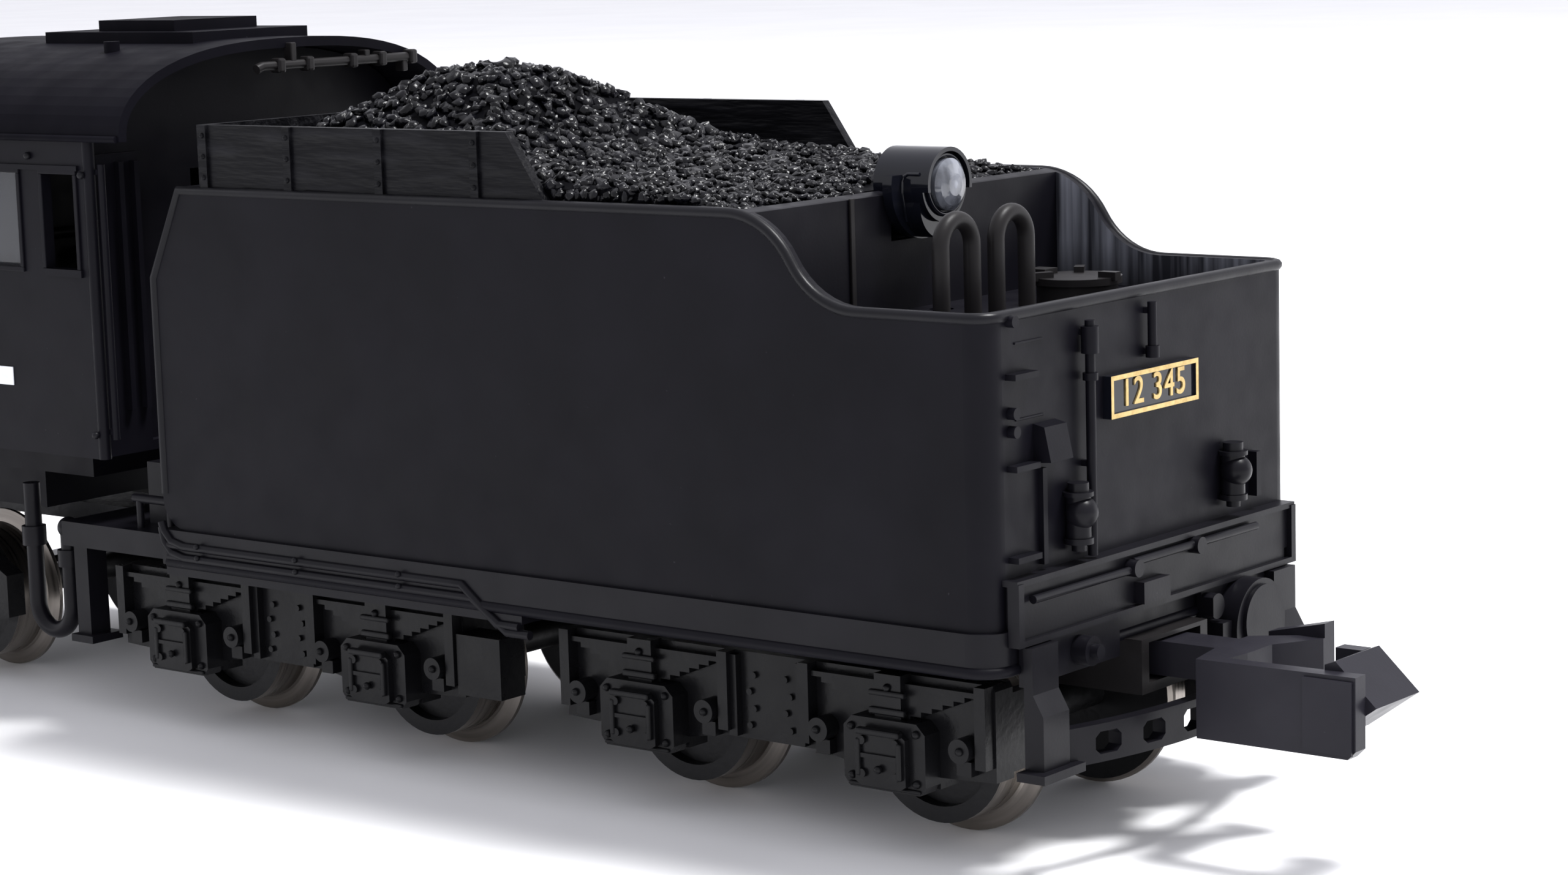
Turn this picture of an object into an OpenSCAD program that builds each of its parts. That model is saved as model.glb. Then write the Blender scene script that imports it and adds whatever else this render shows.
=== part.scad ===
// Small-gauge steam locomotive with its coupled tender.
// Lengths are millimetres. Every module draws in train coordinates: x is measured forwards
// from the tender's rear wall, y from the centre line (positive on the left) and z from the
// rail tops. at_train() then moves the piece into the part's own frame, whose origin is on the
// table under the middle of the train.

/* [Track and wheels] */
// Distance between the backs of a wheel pair
back_to_back = 7.5; // [7.4:0.05:7.6]
// Width of a wheel
wheel_w = 2; // [1.8:0.1:2.1]
// Depth of a flange below the rail top
flange_depth = 0.6; // [0.5:0.05:0.6]
// Tread radius of the carrying wheels
small_r = 2.85; // [2.7:0.05:2.9]
// Tread radius of the driving wheels
driver_r = 4.5; // [4.4:0.05:4.5]

/* [Tender tank] */
// Length of the tank
tank_l = 39.7; // [39.5:0.1:40]
// Width of the tank
tank_w = 19; // [18.9:0.1:19.1]
// Height of the low rear rim
rim_low = 18.2; // [18:0.1:18.4]
// Height of the high bunker rim
rim_high = 21.3; // [21.2:0.05:21.4]
// Thickness of the tank sheets
sheet = 0.5; // [0.4:0.05:0.55]
// Top of the raised coal boards
boards_top = 23.7; // [23.5:0.1:23.9]

/* [Bogies] */
// Axle spacing in a bogie
bogie_base = 11; // [10.9:0.05:11.1]
// Distance of the rear bogie's pivot from the tank's rear wall
rear_pivot = 10.5; // [10.4:0.1:10.6]
// Distance of the front bogie's pivot from the tank's rear wall
front_pivot = 34.7; // [34.6:0.1:34.8]

/* [Engine] */
// Distance of the last driving axle from the tender's rear wall
last_driver = 72; // [71.9:0.1:72.1]
// Spacing of the driving axles
driver_pitch = 10.3; // [10.25:0.05:10.35]
// Radius of the crank circle
crank_r = 2.2; // [2.1:0.05:2.2]
// Height of the boiler's axis
boiler_z = 17; // [16.9:0.1:17.1]
// Radius of the boiler
boiler_r = 5.7; // [5.6:0.05:5.8]
// Height of the cab eaves
eaves = 23.2; // [23.1:0.1:23.3]
// Rise of the cab roof
roof_rise = 3.4; // [3.2:0.1:3.5]

/* [Hidden] */
$fn = 48;

black = [0.13, 0.13, 0.14];
dark = [0.2, 0.2, 0.22];
steel = [0.6, 0.6, 0.62];
brass = [0.72, 0.58, 0.3];

// Ends of the whole train and its middle
train_rear = -10;
train_front = 127;
mid_x = (train_rear + train_front) / 2;

// Running clearance of a shaft in its hole
run = 0.05;
// Clearance between pieces that move past each other or drop into each other
gap = 0.03;

// Wheels
inner_y = back_to_back / 2;
outer_y = inner_y + wheel_w;
flange_w = 0.5;
small_axle_r = 0.6;
driver_axle_r = 1;

// Tender levels
skirt_bot = 6.4;
skirt_top = 7.8;
deck_z = 17;
bunker_floor = 15.4;
bunker_rear = 10.2;
bunker_front = 36.4;
corner_r = 0.9;
platform_front = 46.6;
tender_pin = 44;
engine_pin = 50;
eye_r = 0.8;
spring_end = 2.6;
coupler_pivot = 0.4;

// Bogie side frames
journal_tip = 7.5;
side_in = 6.9;
side_out = 7.9;
frame_half = 9.5;

// Engine places
driver_x = [for (i = [3:-1:0]) last_driver + i * driver_pitch];
main_driver = driver_x[2];
lead_x = 118.5;
lead_pin = 108.5;
trail_x = 56.5;
trail_pin = 67.5;
left_crank = -90;
right_crank = 0;
pin_r = 0.45;
rod_r = 0.85;
side_rod_y = outer_y + 0.4;
main_rod_y = side_rod_y + 0.7;
rod_t = 0.6;
main_rod_l = 20;
cylinder_y = 8.1;
cylinder_back = 108.2;
slide_z = 1.15;
cab_rear = 43.5;
cab_front = 58.5;
cab_half = 9.3;
cab_floor = 10.2;
board_z = 12.4;
teeth = 20;
gear_r = 3.65;
worm_z = driver_r + gear_r + 1.1;
worm_pitch = 2 * PI * gear_r / teeth;

module at_train() {
    translate([-mid_x, 0, flange_depth]) children();
}

module block(x0, x1, y0, y1, z0, z1) {
    translate([x0, y0, z0]) cube([x1 - x0, y1 - y0, z1 - z0]);
}

module rod_x(r, x0, x1, y, z) {
    translate([x0, y, z]) rotate([0, 90, 0]) cylinder(r = r, h = x1 - x0);
}

module rod_y(r, y0, y1, x, z) {
    translate([x, y1, z]) rotate([90, 0, 0]) cylinder(r = r, h = y1 - y0);
}

module rod_z(r, z0, z1, x, y) {
    translate([x, y, z0]) cylinder(r = r, h = z1 - z0);
}

module both_sides() {
    children();
    mirror([0, 1, 0]) children();
}

// Extrudes an outline drawn in x and z from y0 to y1
module side_plate(y0, y1) {
    translate([0, y1, 0]) rotate([90, 0, 0]) linear_extrude(y1 - y0) children();
}

// Extrudes an outline drawn in y and z from x0 to x1
module cross_plate(x0, x1) {
    translate([x0, 0, 0]) rotate([90, 0, 90]) linear_extrude(x1 - x0) children();
}

// ---------------------------------------------------------------- tender tank

// Points of a quarter-wave step from one level to another, made of two equal arcs
function ogee(x0, z0, x1, z1, steps) =
    let (a = 2 * atan((z1 - z0) / (x1 - x0)), r = (x1 - x0) / (2 * sin(a)))
    concat(
        [for (i = [0:steps]) let (t = a * i / steps) [x0 + r * sin(t), z0 + r * (1 - cos(t))]],
        [for (i = [steps - 1:-1:0]) let (t = a * i / steps)
            [x1 - r * sin(t), z1 - r * (1 - cos(t))]]);

function arc(cx, cz, r, a0, a1, steps) =
    [for (i = [0:steps]) let (a = a0 + (a1 - a0) * i / steps) [cx + r * cos(a), cz + r * sin(a)]];

module tank_side() {
    toe_r = 1.2;
    polygon(concat(
        [[0, skirt_top], [0, rim_low]],
        ogee(5.2, rim_low, 10.6, rim_high, 8),
        [[tank_l - 1.8, rim_high], [tank_l - 0.1, 17.8]],
        arc(tank_l - toe_r, skirt_top + toe_r, toe_r, 0, -90, 6)));
}

module tank_plan(inset, x1) {
    r = corner_r - inset;
    half = tank_w / 2 - inset;
    translate([inset + r, -half]) square([x1 - inset - r, 2 * half]);
    translate([inset, -half + r]) square([2 * r, 2 * (half - r)]);
    for (side = [-1, 1]) translate([inset + r, side * (half - r)]) circle(r = r);
}

module tender_shell() {
    lamp_half = 1.4;
    color(black) at_train() difference() {
        intersection() {
            side_plate(-tank_w / 2, tank_w / 2) tank_side();
            translate([0, 0, skirt_top]) linear_extrude(20) tank_plan(0, tank_l);
        }
        // room for the ballast and the lamp board
        translate([0, 0, skirt_top - 1])
            linear_extrude(bunker_floor - sheet - skirt_top + 1) tank_plan(sheet, tank_l - sheet);
        // well behind the bunker
        translate([0, 0, deck_z]) linear_extrude(10) tank_plan(sheet, bunker_rear - sheet);
        // bunker
        block(bunker_rear, bunker_front, -tank_w / 2 + sheet, tank_w / 2 - sheet,
            bunker_floor, 30);
        // notch that the lamp hangs in
        block(9, bunker_rear + 1, -lamp_half, lamp_half, 19.5, 30);
        // passage for the light guide
        rod_z(0.45, 14, 18, 8.6, 0);
    }
}

module bunker_boards() {
    board_t = 0.4;
    y1 = tank_w / 2 - 0.15;
    y0 = y1 - board_t;
    strap_t = 0.12;
    color(black) at_train() {
        both_sides() {
            side_plate(y0, y1) polygon([[19, rim_high], [20.7, boards_top],
                [bunker_front + board_t, boards_top], [bunker_front + board_t, rim_high]]);
            // iron straps that hold the planks
            for (x = [22.2, 27, 31.8, 36.4])
                block(x - 0.2, x + 0.2, y1, y1 + strap_t, rim_high, boards_top);
        }
        block(bunker_front, bunker_front + board_t, -y0, y0, rim_high, boards_top);
    }
}

module coal_load() {
    half = tank_w / 2 - sheet - gap;
    board_half = tank_w / 2 - 0.55 - gap;
    color([0.08, 0.08, 0.09]) at_train() difference() {
        intersection() {
            side_plate(-half, half) polygon([[bunker_rear + gap, bunker_floor],
                [bunker_rear + gap, 21.1], [13, 21.5], [17, 21.8], [20, 22], [23, 22.6],
                [25.5, 23.8], [27.5, 25.1], [29.3, 25.6], [31.2, 25.2], [33.6, 23.7],
                [bunker_front - gap, 22.3], [bunker_front - gap, bunker_floor]]);
            // steeper and lower towards the right
            cross_plate(bunker_rear, bunker_front) polygon([[-half, 15], [-half, 20.9],
                [-board_half, 21.1], [-6.5, 22], [-4, 23.5], [-2, 24.9], [0, 25.7],
                [2.6, 25.1], [5.6, 23.3], [board_half, rim_high + 0.4], [half, rim_high],
                [half, 15]]);
        }
        // clear of the boards and of the lamp
        both_sides() block(18, 40, board_half, half + 1, rim_high - gap, 30);
        block(bunker_rear - 1, 11, -1.45, 1.45, 19.4, 30);
    }
}

module tender_weight() {
    color(steel) at_train() difference() {
        block(13, 38.4, -8.2, 8.2, skirt_top + gap, bunker_floor - sheet - gap);
        // clear of the bogie's pivot
        rod_z(1.6, 7, 10.4, front_pivot, 0);
    }
}

module tail_light_board() {
    color([0.1, 0.3, 0.15]) at_train() {
        difference() {
            block(2.5, 12.5, -4, 4, 13.2, 13.7);
            rod_z(0.5, 12, 14, 4, 2.8);
            rod_z(0.5, 12, 14, 4, -2.8);
        }
        // light source under the light guide
        block(8, 9.2, -0.6, 0.6, 13.7, 14.2);
        // pillars of the chassis side
        for (y = [-2.8, 2.8]) rod_z(0.45, 12.4, 14.2, 4, y);
    }
}

// ---------------------------------------------------------------- tender chassis

// Hose that leaves the front of the platform, hangs down and turns up again
module feed_hose(x, y) {
    r = 0.35;
    bend = 1.1;
    top = 6.9;
    low = 3.6;
    rod_x(r, platform_front - 0.3, x, y, top);
    translate([x, y, top]) sphere(r = r + 0.1);
    rod_z(r, low, top, x, y);
    translate([x + bend, y, low]) rotate([-90, 0, 0])
        rotate_extrude(angle = 180) translate([bend, 0]) circle(r = r);
    rod_z(r, low, 8.6, x + 2 * bend, y);
    // couplings with their nuts
    rod_z(r + 0.15, 5.3, 6, x, y);
    rod_z(r + 0.15, 6, 6.8, x + 2 * bend, y);
}

module tender_chassis() {
    skirt_out = 0.2;
    pipe_r = 0.16;
    side_y = tank_w / 2 + skirt_out;
    post_x = 45.6;
    color(black) at_train() difference() {
        union() {
            // skirt under the tank
            translate([0, 0, skirt_bot]) linear_extrude(skirt_top - skirt_bot)
                tank_plan(-skirt_out, tank_l);
            // front platform, and the locker on it that carries the gangway
            block(tank_l - 1, platform_front, -9, 9, skirt_bot, skirt_bot + 1);
            block(tank_l + gap, 43, -7.4, 7.4, skirt_bot + 0.9, cab_floor - 0.3);
            both_sides() {
                // deep sill along the front half
                block(20.5, 39.5, side_y - 1, side_y, 6, skirt_bot);
                // front posts with their foot plates
                block(post_x, post_x + 0.8, 7.6, 8.6, 2.6, skirt_bot);
                block(post_x - 0.4, post_x + 0.9, 7.3, 8.9, 2.4, 2.7);
                // hand rail on the platform
                rod_z(0.15, skirt_bot + 1, 8.6, 42.4, 8.4);
                rod_z(0.15, skirt_bot + 1, 8.6, 40.6, 8.4);
                rod_x(0.18, 39.8, 42.7, 8.4, 8.6);
                feed_hose(47.4, 8);
            }
            both_sides() for (z = [6.75, 7.2]) {
                rod_x(pipe_r, 23.6, 39.3, side_y, z);
            }
            // bosses that carry the bogies
            for (x = [rear_pivot, front_pivot]) rod_z(1.5, 5.35, skirt_bot + 0.5, x, 0);
            // pin of the drawbar
            rod_z(0.6, 4.5, skirt_bot + 0.2, tender_pin, 0);
            rod_z(1, 4.5, 4.8 - gap, tender_pin, 0);
        }
        // hollow under the tank, which keeps the underframe light
        for (x = [[3.4, rear_pivot - 2], [rear_pivot + 2, front_pivot - 2], [front_pivot + 2, 42.6]])
            block(x[0], x[1], -6.2, 6.2, skirt_bot - 1, skirt_bot + 0.7);
        // screw holes
        for (x = [rear_pivot, front_pivot]) rod_z(0.5, 5, 9, x, 0);
    }
}

module bogie_screws() {
    color(steel) at_train() for (x = [rear_pivot, front_pivot]) difference() {
        union() {
            rod_z(0.5 - gap, 3.7, 7.7, x, 0);
            rod_z(1.3, 3.2, 3.7, x, 0);
        }
        block(x - 0.15, x + 0.15, -2, 2, 3.1, 3.4);
    }
}

module coupler_pocket() {
    color(dark) at_train() {
        difference() {
            block(-1, 3, -2.1, 2.1, 4.5, skirt_bot);
            block(-2, spring_end, -1.65, 1.65, 4.85, 6.25);
        }
        rod_z(0.45, 4.6, 6.3, coupler_pivot, 0);
    }
}

// Coil of square wire between the eye of the coupler and the end of its pocket
module coupler_spring() {
    r_out = 0.55;
    r_in = 0.37;
    turns = 3;
    l = spring_end - coupler_pivot - eye_r - 2 * gap;
    color(steel) at_train() translate([coupler_pivot + eye_r + gap, 0, 5.55]) rotate([0, 90, 0])
        linear_extrude(l, twist = 360 * turns, slices = 10 * turns, $fn = 8)
            polygon(concat(arc(0, 0, r_out, 0, 140, 5), arc(0, 0, r_in, 140, 0, 5)));
}

module rear_coupler() {
    top = 6.2;
    low = 3.5;
    cheek_y = 2.2;
    cheek_t = 0.65;
    shank_z0 = 4.95;
    shank_z1 = 6.15;
    color([0.24, 0.24, 0.27]) at_train() difference() {
        union() {
            // shank and its eye
            block(-3.8, coupler_pivot, -0.85, 0.85, shank_z0, shank_z1);
            rod_z(eye_r, shank_z0, shank_z1, coupler_pivot, 0);
            // head
            translate([0, 0, 4.1]) linear_extrude(top - 4.1)
                polygon([[-3.2, 0.85], [-3.6, cheek_y + cheek_t], [-4.4, cheek_y + cheek_t],
                    [-4.6, 1.2], [-4.6, -0.4], [-5.6, -2.1], [-5.6, -2.85], [-3.2, -1.2]]);
            // short cheek, rising towards the rear
            side_plate(-2.85, -2.2) polygon([[-3.4, 4.1], [-5.6, 4.1], [-5.6, top + 0.5], [-3.4, top]]);
            // long cheek
            side_plate(cheek_y, cheek_y + cheek_t) polygon([[-3.6, low], [-9.3, low],
                [-9.6, low + 0.3], [-9.6, top + 0.05], [-3.6, top]]);
            // pad on the outside of the cheek
            block(-9.5, -7.7, cheek_y + cheek_t, cheek_y + cheek_t + 0.12, low + 0.15, top - 0.1);
            // arrow-shaped nose, turned in from the cheek
            side_plate(-0.7, cheek_y) polygon([[-8.1, top + 0.2], [-8.1, low + 0.3],
                [train_rear, 5.15], [-8.5, top + 0.35]]);
            block(-8.2, -7.2, -0.7, -0.1, 5.4, top + 0.25);
        }
        rod_z(0.5, 4, 7, coupler_pivot, 0);
    }
}

// ---------------------------------------------------------------- tender fittings

module tail_lamp_housing() {
    z = 21.45;
    front = 8.35;
    back = 10.5;
    r = 1.33;
    low_r = 1.2;
    plate_r = 1.9;
    wall = bunker_rear - sheet - gap;
    color([0.07, 0.07, 0.1]) at_train() difference() {
        union() {
            // barrel and the deep lower half under it
            rod_x(r, front, back, 0, z);
            block(front + 0.2, back, -low_r, low_r, 20.75, z);
            rod_x(low_r, front + 0.2, back, 0, 20.75);
            // back plate against the wall, round below
            difference() {
                rod_x(plate_r, wall - 0.4, wall, 0, z - 0.05);
                block(wall - 1, wall + 1, -3, 3, z + 0.4, z + 3);
            }
            // hood over the lens
            difference() {
                rod_x(r, 8.1, front + 0.1, 0, z);
                rod_x(r - 0.15, 7, front, 0, z);
                block(7, front, -3, 3, z - 3, z - 0.2);
            }
        }
        // seat of the lens
        rod_x(0.95, 8, 10.2, 0, z);
    }
}

module tail_lamp_lens() {
    z = 21.45;
    color([0.85, 0.88, 0.95, 0.5]) at_train() translate([10.1, 0, z]) rotate([0, -90, 0])
        rotate_extrude() polygon([[0, 0], [0.7, 0], [0.7, 1.4], [0.93, 1.75], [0.93, 2],
            [0.75, 2.14], [0.4, 2.24], [0, 2.27]]);
}

module hoop(y) {
    r = 0.3;
    half = 0.9;
    low = deck_z;
    top = 21.1 - half - r;
    x = 4;
    for (side = [-1, 1]) rod_z(r, low, top, x, y + side * half);
    translate([x, y, top]) rotate([90, 0, 90])
        rotate_extrude(angle = 180) translate([half, 0]) circle(r = r);
}

module tank_hoops() {
    color(dark) at_train() for (y = [2.2, 5.4]) hoop(y);
}

module water_hatch() {
    r = 1.6;
    color(dark) at_train() translate([4.6, -2.7, 0]) {
        rod_z(r - 0.15, deck_z, 17.9, 0, 0);
        rod_z(r, 17.85, 18.1, 0, 0);
        // hinge and clamps of the lid
        block(r - 0.5, r + 0.3, -0.4, 0.4, 17.8, 18.3);
        for (a = [60, 180, 300]) rotate([0, 0, a]) block(r - 0.6, r + 0.12, -0.18, 0.18, 18, 18.3);
    }
}

module rear_fittings() {
    color(black) at_train() {
        // steps for the shunter
        for (z = [16, 13, 10]) block(-0.4, 0, 7.05, 8.4, z, z + 0.2);
        for (z = [17.9, 14.9, 14.3]) rod_x(0.2, -0.3, 0, 8.2, z);
        // hand rod with its thick upper sleeve
        rod_z(0.17, 9.6, 17.5, -0.35, 4);
        rod_z(0.3, 16.4, 17.3, -0.35, 4);
        rod_z(0.26, 15.5, 15.75, -0.35, 4);
        for (z = [17, 12.6, 9.9]) block(-0.3, 0, 3.9, 4.1, z, z + 0.2);
        // short rod over the plate
        rod_z(0.16, 15.9, 17.7, -0.3, 0.1);
        rod_z(0.24, 15.8, 16.2, -0.3, 0.1);
        block(-0.25, 0, 0, 0.2, 17.3, 17.5);
        block(-0.25, 0, 0, 0.2, 15.9, 16.1);
        // card box, wider at its foot
        side_plate(5.6, 6.9) polygon([[0, 14.4], [-0.45, 14.3], [-0.7, 13.15], [0, 13.1]]);
        // bar beside the steps and small lamp bracket on the right
        block(-0.2, 0, 6.4, 6.65, 9.7, 12.9);
        block(-0.35, 0, -6.9, -6.6, 10, 11.6);
    }
}

module marker_lamp(y) {
    x = -0.4;
    difference() {
        union() {
            rod_z(0.25, 9.9, 10.15, x, y);
            rod_z(0.5, 10.15, 10.35, x, y);
            rod_z(0.42, 10.35, 11.75, x, y);
            rod_z(0.52, 11.75, 11.9, x, y);
            rod_z(0.36, 11.9, 12.2, x, y);
            // bull's-eye lens towards the rear
            translate([x - 0.14, y, 11.2]) sphere(r = 0.56);
        }
        // flat back against the wall
        block(-0.005, 1, y - 1, y + 1, 9, 13);
    }
}

module marker_lamps() {
    color([0.1, 0.1, 0.13]) at_train() for (y = [-4.9, 4.9]) marker_lamp(y);
}

module number_plate() {
    half = 2.75;
    low = 14;
    top = 15.45;
    rim = 0.16;
    color(brass) at_train() difference() {
        block(-0.35, 0, -half, half, low, top);
        block(-1, -0.25, -half + rim, half - rim, low + rim, top - rim);
    }
}

module rear_beam() {
    face = -0.45;
    box_x = face - 0.9;
    box_y = -5.15;
    box_low = 4.8;
    color(black) at_train() {
        difference() {
            union() {
                // upper beam with its flange
                block(face, 0, -8.6, 8.6, 7.85, 9.3);
                block(face - 0.15, 0, -8.8, 8.8, 9.3, 9.5);
                both_sides() block(face - 0.2, -0.2, 8.5, 8.8, 7.3, 9.4);
                // lower beam
                block(face, -0.25, -8.3, 8.3, 5.9, 7.9);
                block(face - 0.2, face, -8.5, 8.5, 7.3, 7.5);
                // box with a round top on the right and pipe ends
                difference() {
                    union() {
                        rod_x(1.65, box_x, face, box_y, 5.7);
                        block(box_x, face, box_y - 1.6, box_y + 1.6, box_low, 5.6);
                        rod_x(1.25, box_x - 0.15, box_x, box_y, 5.9);
                    }
                    block(box_x - 1, 1, box_y - 3, box_y + 3, 3, box_low);
                }
                block(face - 0.7, face, -3.5, -2.9, 5.5, 6.1);
                rod_x(0.45, face - 0.5, face, -2.9, 6.7);
                rod_x(0.5, face - 0.6, face, 5.1, 6.6);
                rod_x(0.25, face - 0.9, face, 5.1, 6.6);
                // centre clamp
                block(face - 0.4, face, 0, 1.65, 7.55, 8.3);
                // rod along the beam with its levers
                rod_y(0.14, -6, 2, face - 0.2, 9.05);
                rod_y(0.14, 2, 8, face - 0.2, 8.8);
                rod_x(0.3, face - 0.45, face, 2, 8.85);
                rod_x(0.3, face - 0.45, face, -2, 9);
            }
            // opening for the coupler
            block(-3, 1, -2.6, 2.6, 4, 7.2);
        }
    }
}

module rear_steps() {
    bow_r = 20;
    bar_z0 = 3;
    bar_z1 = 4.3;
    bar_t = 0.5;
    bow_x = -2.4 + bow_r;
    hole_pitch = 2.1;
    hole_z = (bar_z0 + bar_z1) / 2;
    color(black) at_train() {
        both_sides() {
            // bent post
            side_plate(6.9, 8.4) polygon([[-1.25, 3.2], [-1.25, 5], [-0.85, 5.7], [-0.85, 7.25],
                [-0.5, 7.25], [-0.5, 3.2]]);
            // foot
            block(-1.6, -0.5, 6.5, 8.9, 2.9, 3.2);
        }
        // bowed bar with oblong holes
        difference() {
            intersection() {
                difference() {
                    rod_z(bow_r, bar_z0, bar_z1, bow_x, 0);
                    rod_z(bow_r - bar_t, bar_z0 - 1, bar_z1 + 1, bow_x, 0);
                }
                block(-3, -0.55, -7.1, 7.1, bar_z0, bar_z1);
            }
            for (i = [0:5]) translate([0, (i - 2.5) * hole_pitch, hole_z])
                cross_plate(-4, 0) polygon([[-0.55, -0.2], [-0.35, -0.38], [0.35, -0.38],
                    [0.55, -0.2], [0.55, 0.2], [0.35, 0.38], [-0.35, 0.38], [-0.55, 0.2]]);
        }
    }
}

// ---------------------------------------------------------------- tender running gear

// A pair of wheels on its axle, with stub ends that run in the side frames
module wheelset(x, r, axle_r, stub_r, stub_y, web_y) {
    rim = 0.6;
    color(steel) at_train() translate([x, 0, r]) rotate([-90, 0, 0]) union() {
        cylinder(r = axle_r, h = 2 * inner_y, center = true);
        for (side = [-1, 1]) scale([1, 1, 1]) mirror([0, 0, side < 0 ? 1 : 0]) {
            rotate_extrude() polygon([[0, inner_y], [r + flange_depth - 0.15, inner_y],
                [r + flange_depth, inner_y + 0.12], [r + flange_depth, inner_y + 0.3],
                [r + 0.08, inner_y + flange_w], [r, inner_y + flange_w + 0.1],
                [r - 0.03, outer_y], [r - rim, outer_y], [r - rim, web_y], [axle_r + 0.4, web_y],
                [axle_r + 0.4, outer_y], [0, outer_y]]);
            translate([0, 0, outer_y - 0.1]) cylinder(r = stub_r, h = stub_y - outer_y + 0.1);
        }
    }
}

module tender_wheelset(x) {
    wheelset(x, small_r, small_axle_r, 0.4, journal_tip, outer_y - 0.5);
}

// Laminated spring over an axle, longest leaf on top
module leaf_spring(y0, y1) {
    leaves = 7;
    leaf_t = 0.18;
    for (i = [0:leaves - 1])
        block(-3.45 + i * 0.45, 3.45 - i * 0.45, y0, y1, 5.45 - (i + 1) * leaf_t,
            5.45 - i * leaf_t);
}

module axle_guard(y_in) {
    // axle box with its lid
    side_plate(y_in, 8.75) polygon([[-1.7, 2.1], [-1.45, 1.8], [1.45, 1.8], [1.7, 2.1],
        [1.7, 3.9], [1.35, 4.25], [-1.35, 4.25], [-1.7, 3.9]]);
    side_plate(8.75, 9) polygon([[-1.05, 2.1], [-0.8, 1.95], [0.8, 1.95], [1.05, 2.1],
        [1.05, 3.7], [0.7, 3.95], [-0.7, 3.95], [-1.05, 3.7]]);
    block(-0.8, 0.8, 9, 9.1, 2.95, 3.1);
    for (x = [-0.7, 0.7]) for (z = [2.4, 3.55]) rod_y(0.15, 9, 9.12, x, z);
    // spring buckle and end posts
    block(-0.55, 0.55, side_out, 8.5, 4.2, 5.75);
    for (x = [-3.7, 3.7]) {
        block(x - 0.22, x + 0.22, side_out, 8.4, 2.9, 5.7);
        rod_y(0.42, side_out, 8.6, x * 0.8, 3.5);
        block(x * 0.8 - 0.3, x * 0.8 + 0.3, side_out, 8.3, 2.6, 3.1);
    }
    leaf_spring(side_out, 8.25);
}

module bogie_frame(pivot) {
    half = bogie_base / 2;
    bore_r = 0.4 + run;
    color([0.12, 0.12, 0.13]) at_train() translate([pivot, 0, 0]) {
        difference() {
            union() {
                both_sides() {
                    // side plate, cut down between the boxes
                    side_plate(side_in, side_out) polygon([[-frame_half, 2.4], [-half - 1.7, 2.3],
                        [-half - 1.7, 1.9], [-half + 1.7, 1.9], [-half + 1.7, 2.3], [-2, 2.6],
                        [2, 2.6], [half - 1.7, 2.3], [half - 1.7, 1.9], [half + 1.7, 1.9],
                        [half + 1.7, 2.3], [frame_half, 2.4], [frame_half, 5.5],
                        [half + 3.9, 5.7], [-half - 3.9, 5.7], [-frame_half, 5.5]]);
                    for (x = [-half, half]) translate([x, 0, 0]) axle_guard(side_out);
                    // stiffeners across both ends
                    for (x = [-frame_half, frame_half - 0.5])
                        block(x, x + 0.5, 4.6, side_in + 0.1, 2.6, 5.3);
                    // riveted centre panel
                    for (x = [-1.5, 1.5]) block(x - 0.18, x + 0.18, side_out, 8.2, 2.7, 5.6);
                    for (i = [0:3]) for (s = [-1, 1])
                        rod_y(0.12, side_out, side_out + 0.12, s * (0.9 - 0.2 * (i % 2)), 3.1 + 0.6 * i);
                }
                // bolster with its bearing pad
                block(-1.9, 1.9, -side_in - 0.2, side_in + 0.2, 4, 5.2);
            }
            rod_z(0.5 + run, 3, 7, 0, 0);
            both_sides() for (x = [-half, half]) rod_y(bore_r, side_in - 1, journal_tip + run, x, small_r);
        }
    }
}

module front_bogie_frame() {
    bogie_frame(front_pivot);
    // tool box on the rear end
    color([0.12, 0.12, 0.13]) at_train() both_sides()
        block(front_pivot - frame_half - 2.2, front_pivot - frame_half, 7, 8.3, 2.6, 4.9);
}

module rear_bogie_frame() {
    bogie_frame(rear_pivot);
}

module drawbar() {
    half = 1.3;
    color(dark) at_train() difference() {
        union() {
            rod_z(half, 4.8, 5.4, tender_pin, 0);
            rod_z(half, 4.8, 5.4, engine_pin, 0);
            block(tender_pin, engine_pin, -half + 0.3, half - 0.3, 4.8, 5.4);
        }
        for (x = [tender_pin, engine_pin]) rod_z(0.6 + run, 4, 6, x, 0);
    }
}

// ---------------------------------------------------------------- engine frame and drive

module loco_frame() {
    half = 3.3;
    color([0.16, 0.16, 0.17]) at_train() difference() {
        union() {
            block(66, 76.4, -half, half, 3.2, 6.3);
            block(76.4, 114.8, -half, half, 3.2, 11.1);
            // ballast inside the boiler
            block(78, 114.8, -half, half, 11.1, 14);
            rod_x(boiler_r - 0.6, 78, 116.5, 0, boiler_z);
            // nose that carries the pilot
            block(114.8, 121.3, -2.2, 2.2, 6.6, 9.2);
            // tail that carries the motor and the drawbar
            block(48.6, 66, -1.5, 1.5, 5.6, 6.4);
            rod_z(0.6, 4.5, 5.8, engine_pin, 0);
            rod_z(1, 4.5, 4.8 - gap, engine_pin, 0);
            // pin of the trailing truck
            rod_z(0.6, 1.7, 3.4, trail_pin, 0);
            rod_z(1, 1.7, 2.1 - gap, trail_pin, 0);
        }
        for (x = driver_x) rod_y(driver_axle_r + run, -4, 4, x, driver_r);
        // well for the worm and its wheel, open below
        block(main_driver - 4.2, main_driver + 4.2, -0.9, 0.9, 0, 10);
        block(76, main_driver + 4.4, -1.7, 1.7, 7.7, 11.05);
        block(118, 122, -1.2, 1.2, 6, 7.2);
    }
}

module keeper_plate() {
    color(black) at_train() difference() {
        union() {
            block(69.2, 114.8, -3.1, 3.1, 2.3, 3.2 - gap);
            // pin of the leading truck
            rod_z(0.6, 0.8, 2.5, lead_pin, 0);
            rod_z(1, 0.8, 1.1 - gap, lead_pin, 0);
        }
        for (x = driver_x) rod_y(driver_axle_r + run, -4, 4, x, driver_r);
        block(main_driver - 4.2, main_driver + 4.2, -0.9, 0.9, 0, 4);
    }
}

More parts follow.
